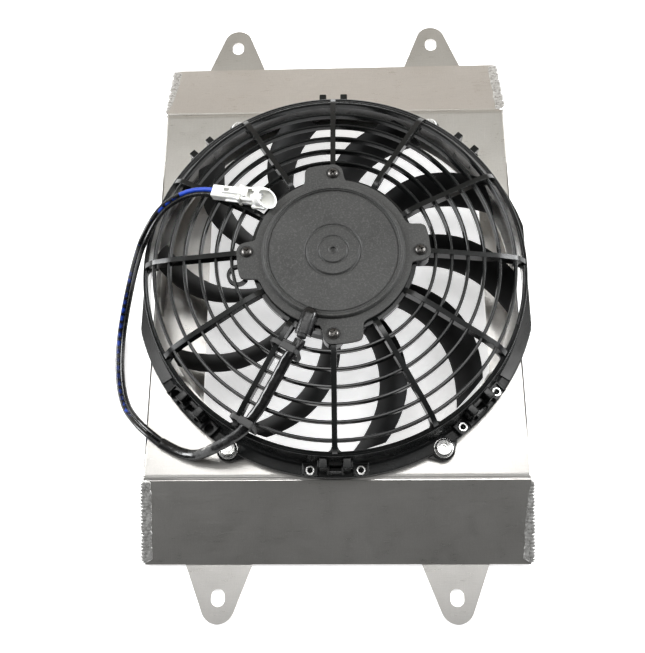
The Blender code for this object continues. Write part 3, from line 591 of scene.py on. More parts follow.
HOOD_MOUTH = turn(HOOD_ANGLE) @ Vector((HOOD_REACH, 0.0, HOOD_Z)) * MM
for wire_name, wire_side, wire_slot in (("wire_black", 1, "cable_black"), ("wire_blue", -1, "wire_blue")):
    made, path = wire(f"{wire_name}_fine", wire_side, wire_slot)
    keep(made, BODY, wire_slot, wire_name)
    line_length(path)
keep(sleeve(), BODY, "cable_black", "cable_sleeve")


def blue_wire_jacket():
    """Thin black tubing over the blue wire up to where it turns towards the plug."""
    line = wire_line(-1, 3.0)
    start = len(sleeve_points(3.0)) - 3
    stop = next(i for i, p in enumerate(line) if i > start and p.x > -119.0 and p.z > 70)
    part = line[start : stop + 1]
    rings = []
    for i, point in enumerate(part):
        ahead = (part[min(i + 1, len(part) - 1)] - part[max(i - 1, 0)]).normalized()
        across = ahead.cross(Vector((0, 0, 1))).normalized()
        up = across.cross(ahead)
        radius = 1.84 + (0.08 if i > len(part) - 3 else 0.0)
        rings.append(
            [
                point + (across * math.cos(a) + up * math.sin(a)) * radius
                for a in (2 * math.pi * k / 18 for k in range(18))
            ]
        )
    return smooth(loft("wire_jacket", rings, "cable_black"), 50)


keep(blue_wire_jacket(), BODY, "cable_black")

# ---------------------------------------------------------------- plug


def connector_frame():
    ahead = (CONNECTOR_FRONT - CONNECTOR_REAR).normalized()
    across = Vector((0.0, 0.0, 1.0)).cross(ahead).normalized()
    up = ahead.cross(across)
    return Matrix.Translation(CONNECTOR_REAR * MM) @ Matrix((ahead, across, up)).transposed().to_4x4()


def connector():
    """A two-way plug: slim wire end, waisted middle with a latch window, round flared mouth."""
    length = (CONNECTOR_FRONT - CONNECTOR_REAR).length
    at = connector_frame()
    along = at @ Matrix.Rotation(math.radians(90.0), 4, "Y")
    housing = rounded(box("connector_fine", (GAP, -4.7, -3.6), (24.5, 4.7, 4.0), "nylon_white", at), 0.8)
    more = [
        rounded(box("waist", (1.6, -3.9, -4.3), (21.0, 3.9, 4.7), None, at), 0.7),
        rounded(box("shoulder", (22.0, -6.2, -4.6), (24.8, 6.2, 5.4), None, at), 0.6),
        rounded(box("front", (24.4, -5.6, -4.3), (38.0, 5.6, 5.0), None, at), 1.4, 3),
        rounded(box("latch", (9.0, -2.3, 3.0), (30.0, 2.3, 7.0), None, at), 0.5),
        rounded(box("latch_bar", (26.0, -3.6, 5.0), (29.5, 3.6, 7.4), None, at), 0.4),
        rounded(box("side_rib_a", (12.0, 4.3, -0.8), (36.0, 6.2, 0.8), None, at), 0.3),
        rounded(box("side_rib_b", (12.0, -6.2, -0.8), (36.0, -4.3, 0.8), None, at), 0.3),
        rounded(box("keel", (33.0, -8.4, -3.6), (43.5, -5.6, -0.6), None, at), 0.5),
    ]
    barrel_frame = along @ Matrix.Translation((-0.7 * MM, 0.0, 0.0))
    more.append(
        turned(
            "barrel",
            fillet(
                [
                    (0.0, length + 4.5),
                    (7.2, length + 4.5),
                    (7.5, length + 3.8),
                    (7.3, length - 9.5),
                    (5.8, length - 13),
                    (0.0, length - 13),
                ],
                0.4,
            ),
            None,
            64,
            barrel_frame,
        )
    )
    combine(housing, "UNION", more)
    cut = [
        turned(
            "well",
            ((0.0, length + 7), (6.5, length + 7), (6.1, length - 1.0), (5.4, 29.0), (0.0, 29.0)),
            None,
            48,
            barrel_frame,
        ),
        box("window", (11.0, -1.4, 3.4), (15.5, 1.4, 9.0), None, at),
        box("window_front", (31.0, -1.5, 3.0), (35.5, 1.5, 9.0), None, at),
        box("slot_side", (14.0, -7.5, -2.8), (20.0, -4.9, -1.4), None, at),
    ]
    slant = at @ Matrix.Translation(
        ((length - 2.2) * MM, 0.0, 0.0)
    ) @ Matrix.Rotation(math.radians(-38.0), 4, "Y")
    cut.append(box("slant", (0.0, -20.0, -20.0), (20.0, 20.0, 20.0), None, slant))
    cut.append(box("ceiling", (-120.0, 0.0, 100.2), (0.0, 80.0, 120.0)))
    combine(housing, "DIFFERENCE", cut)
    inner = [rounded(box("tower", (27.0, -2.9, -1.7), (38.5, 2.9, 1.7), None, at), 0.4)]
    combine(housing, "UNION", inner)
    combine(
        housing,
        "DIFFERENCE",
        [
            box("pin_hole", (27.5, s * 1.6 - 0.55, -0.55), (40.0, s * 1.6 + 0.55, 0.55), None, at)
            for s in (-1, 1)
        ],
    )
    housing = smooth(housing, 32)
    housing.data.transform(housing.matrix_world)
    housing.matrix_world.identity()
    return housing


plug = keep(connector(), BODY, "nylon_white", "connector_housing")

# ---------------------------------------------------------------- shroud

SHEET, DEPTH = 2.0, 25.0
HALF_WIDTH, FRONT_HALF, BACK_HALF, EDGE = 143.0, 154.0, 215.4, 3.0
SLOPE = (DEPTH - EDGE) / (BACK_HALF - FRONT_HALF)
LEFT_FLANGE, RIGHT_FLANGE = 38.0, 21.3
FAN_HOLE_R = 139.5
LOBE_X, LOBE_Y, LOBE_TOP = 79.3, 134.6, 31.5
EAR_X, EAR_LAP, EAR_BASE_HALF, EAR_TIP_R, EAR_TIP_Y = 87.7, 13.0, 25.0, 12.5, 245.0
EAR_HOLE_Y, EAR_HOLE_R, EAR_SLOT_HALF = 239.0, 5.05, 1.2


def sloped_block(name, half_width, low, high, clearance=0.0, side_bend=0.0, front_bend=0.0):
    rise = clearance * math.hypot(1.0, SLOPE)
    side = BACK_HALF + clearance
    corner = EDGE + rise - clearance * SLOPE
    reach = BACK_HALF - (high - EDGE - rise) / SLOPE
    if low < corner:
        half = [(reach, high), (side, corner), (side, low)]
    else:
        half = [(reach, high), (BACK_HALF - (low - EDGE - rise) / SLOPE, low)]
    outline = half + [(-y, z) for y, z in reversed(half)]
    bm = bmesh.new()
    ends = [[bm.verts.new(Vector((x, y, z)) * MM) for y, z in outline] for x in (-half_width, half_width)]
    for i in range(len(outline)):
        j = (i + 1) % len(outline)
        bm.faces.new((ends[0][i], ends[0][j], ends[1][j], ends[1][i]))
    bm.faces.new(ends[0])
    bm.faces.new(list(reversed(ends[1])))
    if front_bend:
        bends = [
            e for e in bm.edges if all(
                v.co.z > (high - 1) * MM for v in e.verts
            ) and abs(e.verts[0].co.y - e.verts[1].co.y) < 1e-6
        ]
        bmesh.ops.bevel(bm, geom=bends, offset=front_bend * MM, segments=5, profile=0.5, affect="EDGES")
    if side_bend:
        bends = [
            e
            for e in bm.edges
            if all(v.co.z > (high - 1.5) * MM for v in e.verts) and all(
                abs(abs(v.co.x) - half_width * MM) < 1e-6 for v in e.verts
            )
        ]
        bmesh.ops.bevel(bm, geom=bends, offset=side_bend * MM, segments=7, profile=0.5, affect="EDGES")
    return finish_bmesh(name, bm)


def shroud():
    body = sloped_block("shroud_fine", HALF_WIDTH, 0.0, DEPTH, side_bend=1.2, front_bend=1.4)
    inner = sloped_block(
        "inner", HALF_WIDTH - SHEET, SHEET, DEPTH - SHEET, -SHEET, side_bend=0.5, front_bend=0.9
    )
    opening = sloped_block("opening", HALF_WIDTH, -1.0, SHEET + 0.5, -SHEET)
    for vertex in opening.data.vertices:
        wide = LEFT_FLANGE if vertex.co.x < 0 else RIGHT_FLANGE
        vertex.co.x = math.copysign(HALF_WIDTH - wide, vertex.co.x) * MM
    cutters = [inner, opening, rod("fan_hole", FAN_HOLE_R, DEPTH - 6, DEPTH + 6, sides=160)]
    for x in (-LOBE_X, LOBE_X):
        for y in (-LOBE_Y, LOBE_Y):
            cutters.append(rod("bolt_hole", 3.2, DEPTH - 5.5, DEPTH + 5.5, at=(x, y), sides=32))
    for x in (-EAR_X, EAR_X):
        for side in (-1, 1):
            near, far = sorted((side * (BACK_HALF - EAR_LAP - GAP), side * (BACK_HALF + 2)))
            half = EAR_BASE_HALF + GAP
            cutters.append(box("ear_notch", (x - half, near, -1.5), (x + half, far, SHEET + GAP)))
    combine(body, "DIFFERENCE", cutters)
    return smooth(body, 20)


def ear(x, side):
    rise = EAR_TIP_Y - BACK_HALF
    lean = math.degrees(math.asin(EAR_TIP_R / math.hypot(EAR_BASE_HALF, rise)))
    flank = math.degrees(math.atan2(rise, EAR_BASE_HALF)) + lean
    tip = arc(0.0, EAR_TIP_Y, EAR_TIP_R, 90.0 - flank, 90.0 + flank, 41)
    root = BACK_HALF - EAR_LAP
    outline = [
        (-EAR_BASE_HALF, root),
        (EAR_BASE_HALF, root),
        (EAR_BASE_HALF, BACK_HALF),
        *tip,
        (-EAR_BASE_HALF, BACK_HALF),
    ]
    hole = arc(0, EAR_HOLE_Y + EAR_SLOT_HALF, EAR_HOLE_R, 0, 180, 25) + arc(
        0, EAR_HOLE_Y - EAR_SLOT_HALF, EAR_HOLE_R, 180, 360, 25
    )
    loops = [[(px, side * py) for px, py in loop] for loop in (outline, hole)]
    move = Matrix.Translation((x * MM, 0.0, 0.0))
    piece = plate("ear_fine", loops, 0.0, SHEET, "aluminium", move)
    return smooth(rounded(piece, 0.3, 2, 50), 40)


def weld_bead(x_side, y_side, seed):
    """A hand-laid bead round the corner seam: flat and pale on the sloping face, rippled down the side."""
    rng = random.Random(seed)
    front = Vector((x_side * HALF_WIDTH, y_side * (FRONT_HALF + 1.5), DEPTH - 1.5 * SLOPE))
    back = Vector((x_side * HALF_WIDTH, y_side * BACK_HALF, EDGE))
    ahead = (back - front).normalized()
    out = Vector((x_side, 0.0, 0.0))
    up = Vector((0.0, y_side * SLOPE, 1.0)).normalized()
    length = (back - front).length * 0.965
    step, pitch, lift = 0.4, 2.5, 0.06
    count = int(length / step)
    wander = [(rng.uniform(-1, 1), rng.uniform(-1, 1)) for _ in range(count // 5 + 3)]
    rings = []
    for i in range(count + 1):
        s = i * step
        ends = max(0.05, min(1.0, (s + 0.3) / 2.4, (length - s + 0.3) / 2.4)) ** 0.5
        f = (s / pitch) % 1.0
        k, share = divmod(i / 5, 1.0)
        inner_drift, outer_drift = (
            wander[int(k)][j] * (1 - share) + wander[int(k) + 1][j] * share for j in (0, 1)
        )
        ripple = math.sqrt(max(0.0, 1 - (2 * f - 1) ** 2))
        ring = [front + ahead * s + (out + up) * lift]
        for j in range(22):
            a = math.pi - 1.5 * math.pi * j / 21
            c, d = math.cos(a), math.sin(a)
            wide = (
                1.9 + 1.1 * ripple + 0.25 * outer_drift
            ) if c > 0 else (5.2 + 0.6 * inner_drift + 0.3 * ripple)
            tall = (1.0 + 0.45 * ripple * (1.0 + c) * 0.5) if d > 0 else 4.2 + 0.6 * ripple
            bow = 1.1 * math.sin(math.pi * min(1.0, j / 21))
            spot = out * max(
                c * wide * ends, lift if d < 0 else -9.0
            ) + up * max(d * tall * ends, lift if c < 0 else -9.0)
            ring.append(front + ahead * (s + bow) + spot)
        rings.append(ring)
    return smooth(loft("weld_bead_fine", rings, "weld"), 50)


keep(shroud(), BODY, "aluminium", "shroud_body")
for tall, y_sign in (("top", 1), ("bottom", -1)):
    for wide, x_sign in (("left", -1), ("right", 1)):
        keep(ear(x_sign * EAR_X, y_sign), BODY, "aluminium", f"mounting_ear_{tall}_{wide}")
        keep(weld_bead(x_sign, y_sign, 7 + x_sign + 3 * y_sign), BODY, "weld", f"weld_bead_{tall}_{wide}")

# ---------------------------------------------------------------- fan housing

RING_Z = DEPTH + GAP
RIM_Z, RIM_IN, RIM_OUT = 61.3, 141.5, 145.0
WALL_BASE_IN, WALL_FOOT_R, LEDGE_R, LEDGE_Z, RING_FLAT = 147.0, 149.0, 156.5, 34.0, 150.0
RIBS = ((74.6, 84.0), (86.6, 80.9), (98.7, 78.7), (110.8, 76.9), (122.8, 73.5), (134.9, 70.0))
SPOKE_TOP = (
    (55.5, 82.4),
    (64.0, 85.6),
    (74.6, 84.8),
    (98.7, 79.6),
    (122.8, 74.6),
    (136.5, 70.0),
    (141.0, 65.6),
    (143.8, 61.9),
)
SPOKE_FOOT = (
    (143.8, 50.0), (140.0, 57.0), (136.0, 61.0), (122.8, 66.2), (98.7, 71.4), (74.6, 76.4), (55.5, 76.6)
)
COVER_Z, COVER_R, SCREW_PCD_R, EAR_PAD_R = 84.3, 57.7, 63.0, 7.8
BRACKETS = (45.0, 90.0, 135.0, 225.0, 270.0, 315.0)


def ring_wall():
    profile = fillet(
        [
            (144.2, RIM_Z - 0.1), (RIM_OUT, RIM_Z - 0.7), (146.6, 42.0), (147.4, LEDGE_Z + 1.6),
            (149.2, LEDGE_Z + 0.2),
            (LEDGE_R - 0.6, LEDGE_Z), (LEDGE_R, LEDGE_Z - 0.9), (LEDGE_R, RING_Z), (WALL_BASE_IN, RING_Z),
            (146.6, 31.0), (RIM_IN + 0.1, RIM_Z - 2.2), (RIM_IN, RIM_Z - 0.4), (RIM_IN + 0.5, RIM_Z),
            (142.6, RIM_Z),
            (143.0, RIM_Z - 1.1), (143.7, RIM_Z - 1.1), (144.0, RIM_Z - 0.2),
        ],
        0.35,
    )  # fmt: skip
    return turned("fan_housing_fine", profile, "fan_plastic", 180)


def rib(radius, top):
    half, foot = 1.35, top - 5.2
    profile = fillet(
        [
            (radius + 0.5, top), (radius + 1.1, top - 0.5), (radius + half, foot + 0.4),
            (radius + half - 0.4, foot),
            (radius - half + 0.4, foot), (radius - half, foot + 0.4), (radius - 1.1, top - 0.5),
            (radius - 0.5, top),
        ],
        0.25, 2,
    )  # fmt: skip
    return turned("rib", profile, None, 132)


def spokes():
    outline = fillet([*SPOKE_TOP, *SPOKE_FOOT], 3.0, 4)
    stand = Matrix.Rotation(math.radians(90.0), 4, "X")
    first = rounded(plate("spoke", [outline], -1.95, 1.95, None, stand), 0.65, 3, 60)
    flare_outline = []
    for side in (1, -1):
        flank = [(141.8, 6.0), (141.2, 4.4), (140.0, 3.1), (138.0, 2.2), (134.0, 1.7)]
        flank = flank if side == 1 else flank[::-1]
        flare_outline += [(r, side * y) for r, y in flank]
    for i in range(12):
        yield link(f"spoke_{i}", first.data.copy(), None, turn(30.0 * i) @ first.matrix_world)
        yield rounded(plate("flare", [flare_outline], 56.5, 60.4, None, turn(30.0 * i)), 0.5, 2, 50)
    bpy.data.objects.remove(first, do_unlink=True)


def bracket_blocks():
    """Two stepped towers and a low web at each bracket, on the ledge against the outer wall."""
    for angle in BRACKETS:
        here = turn(angle)
        for side in (-1, 1):
            low, high = sorted((side * 5.7, side * 11.3))
            yield rounded(box("tower", (144.6, low, LEDGE_Z - 2), (152.6, high, 56.2), None, here), 0.8)
            low, high = sorted((side * 11.0, side * 12.8))
            yield rounded(box("tower_wall", (145.4, low, LEDGE_Z - 2), (151.0, high, 50.0), None, here), 0.4)
            low, high = sorted((side * 4.2, side * 6.4))
            yield rounded(box("step", (145.2, low, LEDGE_Z - 2), (154.6, high, 41.0), None, here), 0.4)
        yield rounded(box("web", (145.5, -5.0, LEDGE_Z - 2), (148.6, 5.0, 47.0), None, here), 0.4)
        yield rounded(box("sill", (151.6, -6.0, LEDGE_Z - 2), (154.2, 6.0, 38.6), None, here), 0.4)


def insert_spots():
    for angle in (225.0, 270.0, 315.0):
        for side in (-1, 1):
            a = math.radians(angle)
            radius = (WALL_FOOT_R + LEDGE_R) / 2 - 0.6
            radial, along = Vector((math.cos(a), math.sin(a))), Vector((-math.sin(a), math.cos(a)))
            middle = radial * math.sqrt(radius**2 - 18.5**2) + along * side * 18.5
            yield angle, side, middle.x, middle.y


def lobes():
    for x in (-LOBE_X, LOBE_X):
        for y in (-LOBE_Y, LOBE_Y):
            profile = fillet(
                [(0.0, LOBE_TOP), (8.5, LOBE_TOP), (9.0, LOBE_TOP - 0.6), (9.2, RING_Z), (0.0, RING_Z)], 0.4
            )
            yield turned("lobe", profile, None, 48, Matrix.Translation((x * MM, y * MM, 0.0)))
            here = turn(math.degrees(math.atan2(y, x)))
            web = [(150.0, -15.0), (156.0, -13.0), (164.0, -5.0), (164.0, 5.0), (156.0, 13.0), (150.0, 15.0)]
            yield rounded(plate("lobe_web", [web], RING_Z, LOBE_TOP - 1.2, None, here), 0.5, 2, 50)


def insert_pads():
    """Square pads with a sunk square floor round each insert hole."""
    for angle, _, x, y in insert_spots():
        at = Matrix.Translation((x * MM, y * MM, 0.0)) @ turn(angle)
        pad = rounded(box("insert_pad", (-5.6, -5.8, LEDGE_Z - 3), (4.0, 5.8, LEDGE_Z + 5.4), None, at), 0.6)
        yield combine(
            pad, "DIFFERENCE", [box("seat", (-4.2, -4.4, LEDGE_Z + 2.6), (8.0, 4.4, LEDGE_Z + 9), None, at)]
        )


def ledge_panels():
    """Raised panels on the ledge to the left and right."""
    for middle in (0.0, 180.0):
        outer = arc(0, 0, 155.6, middle - 33, middle + 33, 41)
        inner = arc(0, 0, 146.8, middle + 33, middle - 33, 41)
        yield plate("ledge_panel", [outer + inner], LEDGE_Z - 3, LEDGE_Z + 1.6)


def hub_ring():
    profile = fillet(
        [(61.0, 82.6), (61.0, 75.5), (50.5, 75.5), (50.5, 78.9), (53.0, 78.9), (53.0, 82.6)], 0.5
    )
    yield turned("hub_ring", profile, None, 128)
    for i in range(4):
        at = on_circle(SCREW_PCD_R, 90 * i)
        pad = rod("pad", EAR_PAD_R - 0.1, 74.0, COVER_Z - GAP, at=at, sides=48)
        yield combine(pad, "DIFFERENCE", [rod("gasket_room", COVER_R + 0.1, 81.1, 92.0, sides=128)])


def hook():
    loop = arc(0.0, 0.0, 8.0, 40.0, 320.0, 33) + arc(0.0, 0.0, 5.8, 320.0, 40.0, 33)
    x, y = on_circle(71.5, 193.0)
    return rounded(
        plate("hook", [loop], 78.8, 83.2, None, Matrix.Translation((x * MM, y * MM, 0.0)) @ turn(15.0)), 0.4
    )


def fan_housing():
    housing = ring_wall()
    pieces = [
        *(rib(r, z) for r, z in RIBS),
        *spokes(),
        *bracket_blocks(),
        *lobes(),
        *insert_pads(),
        *ledge_panels(),
        *hub_ring(),
        hook(),
    ]
    combine(housing, "UNION", pieces)
    cutters = []
    for i in range(4):
        cutters.append(rod("screw_hole", 2.2, 70.0, 90.0, at=on_circle(SCREW_PCD_R, 90 * i), sides=24))
    for x in (-LOBE_X, LOBE_X):
        for y in (-LOBE_Y, LOBE_Y):
            cutters.append(rod("bolt_hole", 3.2, 20.0, 46.0, at=(x, y), sides=32))
            cutters.append(rod("pocket", 7.7, LOBE_TOP, 70.0, at=(x, y), sides=48))
    for _, _, x, y in insert_spots():
        cutters.append(rod("insert_hole", 3.8, 27.0, 46.0, at=(x, y), sides=32))
    for side in (-1, 1):
        near, far = sorted((side * RING_FLAT, side * (RING_FLAT + 20)))
        cutters.append(box("flat", (near, -80, 20), (far, 80, 70)))
    combine(housing, "DIFFERENCE", cutters)
    return smooth(housing, 30)


keep(fan_housing(), BODY, "fan_plastic", "fan_housing")

# ---------------------------------------------------------------- hardware


def thread_insert(x, y):
    profile = fillet([(3.1, 37.6), (3.5, 37.2), (3.5, 28.0), (1.7, 28.0), (1.7, 36.2), (2.2, 37.6)], 0.25)
    return smooth(
        turned("thread_insert_fine", profile, "bright_zinc", 40, Matrix.Translation((x * MM, y * MM, 0.0)))
    )


replaced_inserts = {(270.0, -1): 1, (270.0, 1): 2, (315.0, -1): 3, (315.0, 1): 4}
for spot_angle, spot_side, spot_x, spot_y in insert_spots():
    if (spot_angle, spot_side) in replaced_inserts:
        number = replaced_inserts[(spot_angle, spot_side)]
        keep(thread_insert(spot_x, spot_y), BODY, "bright_zinc", f"thread_insert_{number}")


def mounting_bolt(x, y):
    """Round-headed bolt with a hexagon socket and rolled thread."""
    head = LOBE_TOP + 2.0
    profile = [
        (0.0, head + 1.5),
        (3.0, head + 1.5),
        (3.1, head + 2.8),
        (5.2, head + 3.0),
        (6.5, head + 1.8),
        (6.6, head + 0.5),
    ]
    profile.append((6.3, head))
    profile += [(2.9, head), (2.9, 24.0)]
    z = 24.0
    while z > 12.8:
        profile += [(2.9, z), (2.5, z - 0.4)]
        z -= 0.8
    profile += [(2.4, 12.0), (0.0, 12.0)]
    move = Matrix.Translation((x * MM, y * MM, 0.0))
    bolt = turned("mounting_bolt_fine", profile, "bright_zinc", 48, move)
    socket = plate("socket", [circle(0, 0, 1.9, 6)], head + 0.6, head + 6, None, move @ turn(11.0))
    return smooth(combine(bolt, "DIFFERENCE", [socket]), 40)


def washer(x, y):
    low = LOBE_TOP + GAP
    profile = fillet(
        [(7.0, low + 1.4), (7.2, low + 1.2), (7.2, low + 0.1), (7.0, low), (3.2, low), (3.2, low + 1.4)], 0.1
    )
    return smooth(
        turned("washer_fine", profile, "bright_zinc", 56, Matrix.Translation((x * MM, y * MM, 0.0)))
    )


def lock_nut(x, y):
    move = Matrix.Translation((x * MM, y * MM, 0.0))
    nut = plate(
        "lock_nut_fine", [circle(0, 0, 5.8, 6), circle(0, 0, 3.3, 32)], 17.7, 22.7, "bright_zinc", move
    )
    shell = turned(
        "chamfer", ((5.9, 30.0), (9.0, 30.0), (9.0, 10.0), (4.4, 10.0), (5.9, 19.0)), None, 48, move
    )
    return smooth(combine(nut, "DIFFERENCE", [shell]), 30)


for tall, y_at in (("top", LOBE_Y), ("bottom", -LOBE_Y)):
    for wide, x_at in (("left", -LOBE_X), ("right", LOBE_X)):
        keep(mounting_bolt(x_at, y_at), BODY, "bright_zinc", f"mounting_bolt_{tall}_{wide}")
        keep(washer(x_at, y_at), BODY, "bright_zinc", f"washer_{tall}_{wide}")
        keep(lock_nut(x_at, y_at), BODY, "bright_zinc", f"lock_nut_{tall}_{wide}")


def cable_tie(name, radius, middle, far, head_at):
    wall, half_width = 1.1, 1.6
    low = min(57.0 if radius > 130 else 74.6, 74.6) - 1.0
    if radius > 130:
        low = 56.4
    high = middle + SLEEVE_R + 0.1
    near = -2.4
    across = Matrix(((0, 0, 1, 0), (1, 0, 0, 0), (0, 1, 0, 0), (0, 0, 0, 1)))
    stand = turn(CABLE_SPOKE) @ Matrix.Translation((radius * MM, 0.0, 0.0)) @ across

    def band(grow):
        corner = 2.2 + grow
        centres = (
            (far - 2.2, high - 2.2, 0),
            (near + 2.2, high - 2.2, 90),
            (near + 2.2, low + 2.2, 180),
            (far - 2.2, low + 2.2, 270),
        )
        return [p for x, y, start in centres for p in arc(x, y, corner, start, start + 90, 9)]

    tie = plate(name, [band(wall), band(0.0)], -half_width, half_width, "tie_nylon", stand)
    head = rounded(
        box("head", (head_at - 5.2, high + 0.3, -2.5), (head_at + 5.2, high + 3.5, 2.5), None, stand), 0.5
    )
    tail = rounded(
        box("tail", (head_at + 4.6, high + 1.2, -1.5), (head_at + 6.4, high + 2.4, 1.5), None, stand), 0.3
    )
    combine(tie, "UNION", [head, tail])
    return smooth(rounded(tie, 0.15, 1, 50), 35)


keep(cable_tie("cable_tie_1_fine", 80.5, 89.3, 17.6, 10.2), BODY, "tie_nylon", "cable_tie_1")
keep(cable_tie("cable_tie_2_fine", 138.2, 74.6, 14.9, 9.2), BODY, "tie_nylon", "cable_tie_2")

# ---------------------------------------------------------------- motor


def cover_outline():
    """The round edge with four broad ears that run on anticlockwise from their screws."""
    points = []
    tip = SCREW_PCD_R + EAR_PAD_R - 0.5
    for i in range(4):
        middle = 90.0 * i
        cx, cy = on_circle(SCREW_PCD_R, middle)
        corners = [
            on_circle(COVER_R, middle - 12.5),
            on_circle(COVER_R, middle - 9.6),
            on_circle(COVER_R + 2.0, middle - 8.2),
        ]
        corners += arc(
            cx, cy, EAR_PAD_R - 0.2, middle - 76.0, middle, 14
        ) + arc(0.0, 0.0, tip, middle + 2.5, middle + 14.5, 9)
        corners += [
            on_circle(tip - 0.5, middle + 16.3),
            on_circle(tip - 2.6, middle + 18.0),
            on_circle(tip - 9.0, middle + 20.0),
        ]
        corners += [on_circle(COVER_R + 0.9, middle + 21.6), on_circle(COVER_R, middle + 24.5)]
        points += corners + arc(0.0, 0.0, COVER_R, middle + 26.5, middle + 75.5, 33)
    return points


def hood():
    """A rounded hood over the leads: nose towards the middle, open end at the rim, a flat facet on top."""
    here = turn(HOOD_ANGLE)
    rings = []
    count = 22
    for i in range(count + 1):
        r = 46.8 + (HOOD_REACH - 46.8) * (i / count) ** 1.25
        nose = min(1.0, (r - 46.5) / 6.2)
        round_off = math.sqrt(max(0.02, 1 - (1 - nose) ** 2))
        half = 6.0 * round_off
        top = 88.6 + 5.5 * round_off - 0.9 * max(0.0, (r - 56.5) / 11.0) ** 1.2
        ring = []
        for j in range(25):
            a = math.pi * j / 24
            c, d = math.cos(a), math.sin(a)
            y = half * math.copysign(abs(c) ** 0.62, c)
            z = 86.6 + (top - 86.6) * min(1.0, abs(d) ** 0.62 * 1.02)
            ring.append(here @ Vector((r, y, z)))
        ring += [here @ Vector((r, -half, 86.2)), here @ Vector((r, half, 86.2))]
        rings.append(ring)
    boot = loft("hood", rings, "cable_black")
    mouth = rod("mouth", 2.3, -4.0, 3.0, sides=32)
    mouth.matrix_world = here @ Matrix.Translation(
        (HOOD_REACH * MM, 0.0, HOOD_Z * MM)
    ) @ Matrix.Rotation(math.radians(90.0), 4, "Y")
    return smooth(combine(boot, "DIFFERENCE", [mouth]), 42)


def motor_cover():
    cover = rounded(
        plate("motor_cover_fine", [cover_outline()], COVER_Z, COVER_Z + 2.7, "motor_paint"), 0.5, 2, 50
    )
    dome = turned(
        "dome",
        fillet(
            [
                (0.0, 88.8), (1.7, 88.8), (2.0, 90.4), (2.9, 90.4), (3.4, 90.0), (9.6, 90.2), (10.4, 89.0),
                (11.0, 88.9), (11.6, 89.5),
                (18.4, 89.4), (19.4, 87.9), (20.3, 87.8), (21.0, 88.6), (46.4, 88.7), (46.9, 88.0),
                (47.6, 88.0), (48.3, 89.3),
                (48.8, 89.0), (49.3, 89.9), (50.6, 90.0), (51.4, 88.8), (52.0, 87.2), (53.0, 86.4),
                (52.2, 84.0), (52.2, 81.8), (46.0, 81.8), (45.0, 86.3),
                (13.3, 86.3), (13.3, 81.2), (11.3, 81.2), (11.3, 86.6), (0.0, 86.6),
            ],
            0.5,
        ),
        None,
        144,
    )  # fmt: skip
    step = rounded(
        box("hood_step", (56.0, -5.8, 85.0), (HOOD_REACH - 1.0, 5.8, 87.6), None, turn(HOOD_ANGLE)), 0.5
    )
    combine(cover, "UNION", [dome, step])
    cutters = [
        rod("screw_hole", 2.2, 80.0, 92.0, at=on_circle(SCREW_PCD_R, 90 * i), sides=24) for i in range(4)
    ]
    for i in range(4):
        x, y = on_circle(SCREW_PCD_R, 90 * i)
        seat = turned(
            "seat",
            ((0.0, 88.0), (5.6, 88.0), (4.8, 86.7), (0.0, 86.7)),
            None,
            48,
            Matrix.Translation((x * MM, y * MM, 0.0)),
        )
        cutters.append(seat)
    cutters.append(turned("inside", ((45.0, 86.3), (46.0, 80.0), (13.3, 80.0), (13.3, 86.3)), None, 96))
    cutters.append(rod("bore", 11.3, 79.0, 86.6, sides=96))
    mouth = turn(HOOD_ANGLE) @ Matrix.Translation(
        (HOOD_REACH * MM, 0.0, HOOD_Z * MM)
    ) @ Matrix.Rotation(math.radians(90.0), 4, "Y")
    cutters.append(rod("mouth", 3.9, -3.0, 3.0, sides=32))
    cutters[-1].matrix_world = mouth
    combine(cover, "DIFFERENCE", cutters)
    return smooth(cover, 28)


def cover_screw(i):
    low = COVER_Z + 2.45
    x, y = on_circle(SCREW_PCD_R, 90 * i)
    profile = [
        (0.0, low + 2.5),
        (1.6, low + 2.45),
        (2.9, low + 2.1),
        (3.8, low + 1.3),
        (4.15, low + 0.3),
        (4.1, low),
        (1.9, low),
        (1.9, 76.5),
        (0.0, 76.5),
    ]
    move = Matrix.Translation((x * MM, y * MM, 0.0))
    screw = turned("cover_screw_fine", profile, "dark_zinc", 48, move)
    cross = []
    for angle in (0.0, 90.0):
        arm = plate(
            "arm",
            [
                [
                    (-2.5, 0.25),
                    (-0.8, 0.62),
                    (0.8, 0.62),
                    (2.5, 0.25),
                    (2.5, -0.25),
                    (0.8, -0.62),
                    (-0.8, -0.62),
                    (-2.5, -0.25),
                ]
            ],
            low + 0.7,
            low + 5,
            None,
            move @ turn(angle + 20.0 + 17.0 * i),
        )
        cross.append(arm)
    return smooth(combine(screw, "DIFFERENCE", cross), 35)


def strain_relief():
    mouth = Vector((HOOD_REACH - 1.2, 0.0, HOOD_Z)) * MM
    outward = turn(HOOD_ANGLE) @ Matrix.Translation(mouth) @ Matrix.Rotation(math.radians(90.0), 4, "Y")
    profile = fillet(
        [
            (0.0, 4.6),
            (2.6, 4.6),
            (3.4, 4.0),
            (3.6, 2.6),
            (3.1, 2.2),
            (3.1, 1.7),
            (3.7, 1.4),
            (3.7, 0.0),
            (0.0, 0.0),
        ],
        0.2,
    )
    return smooth(turned("strain_relief_fine", profile, "rubber", 48, outward))


def motor_can():
    profile = fillet(
        [
            (52.4, 81.3), (52.4, 79.3), (46.0, 79.3), (46.0, 40.0), (44.5, 38.0), (42.0, 37.0), (16.0, 37.0),
            (14.6, 36.2),
            (6.0, 36.2), (6.0, 38.6), (11.3, 39.0), (11.3, 46.5), (13.3, 46.5), (13.3, 39.0), (42.0, 39.0),
            (43.6, 40.2),
            (44.2, 42.0), (44.2, 81.3),
        ],
        0.6,
    )  # fmt: skip
    return smooth(turned("motor_can_fine", profile, "can_steel", 120), 30)


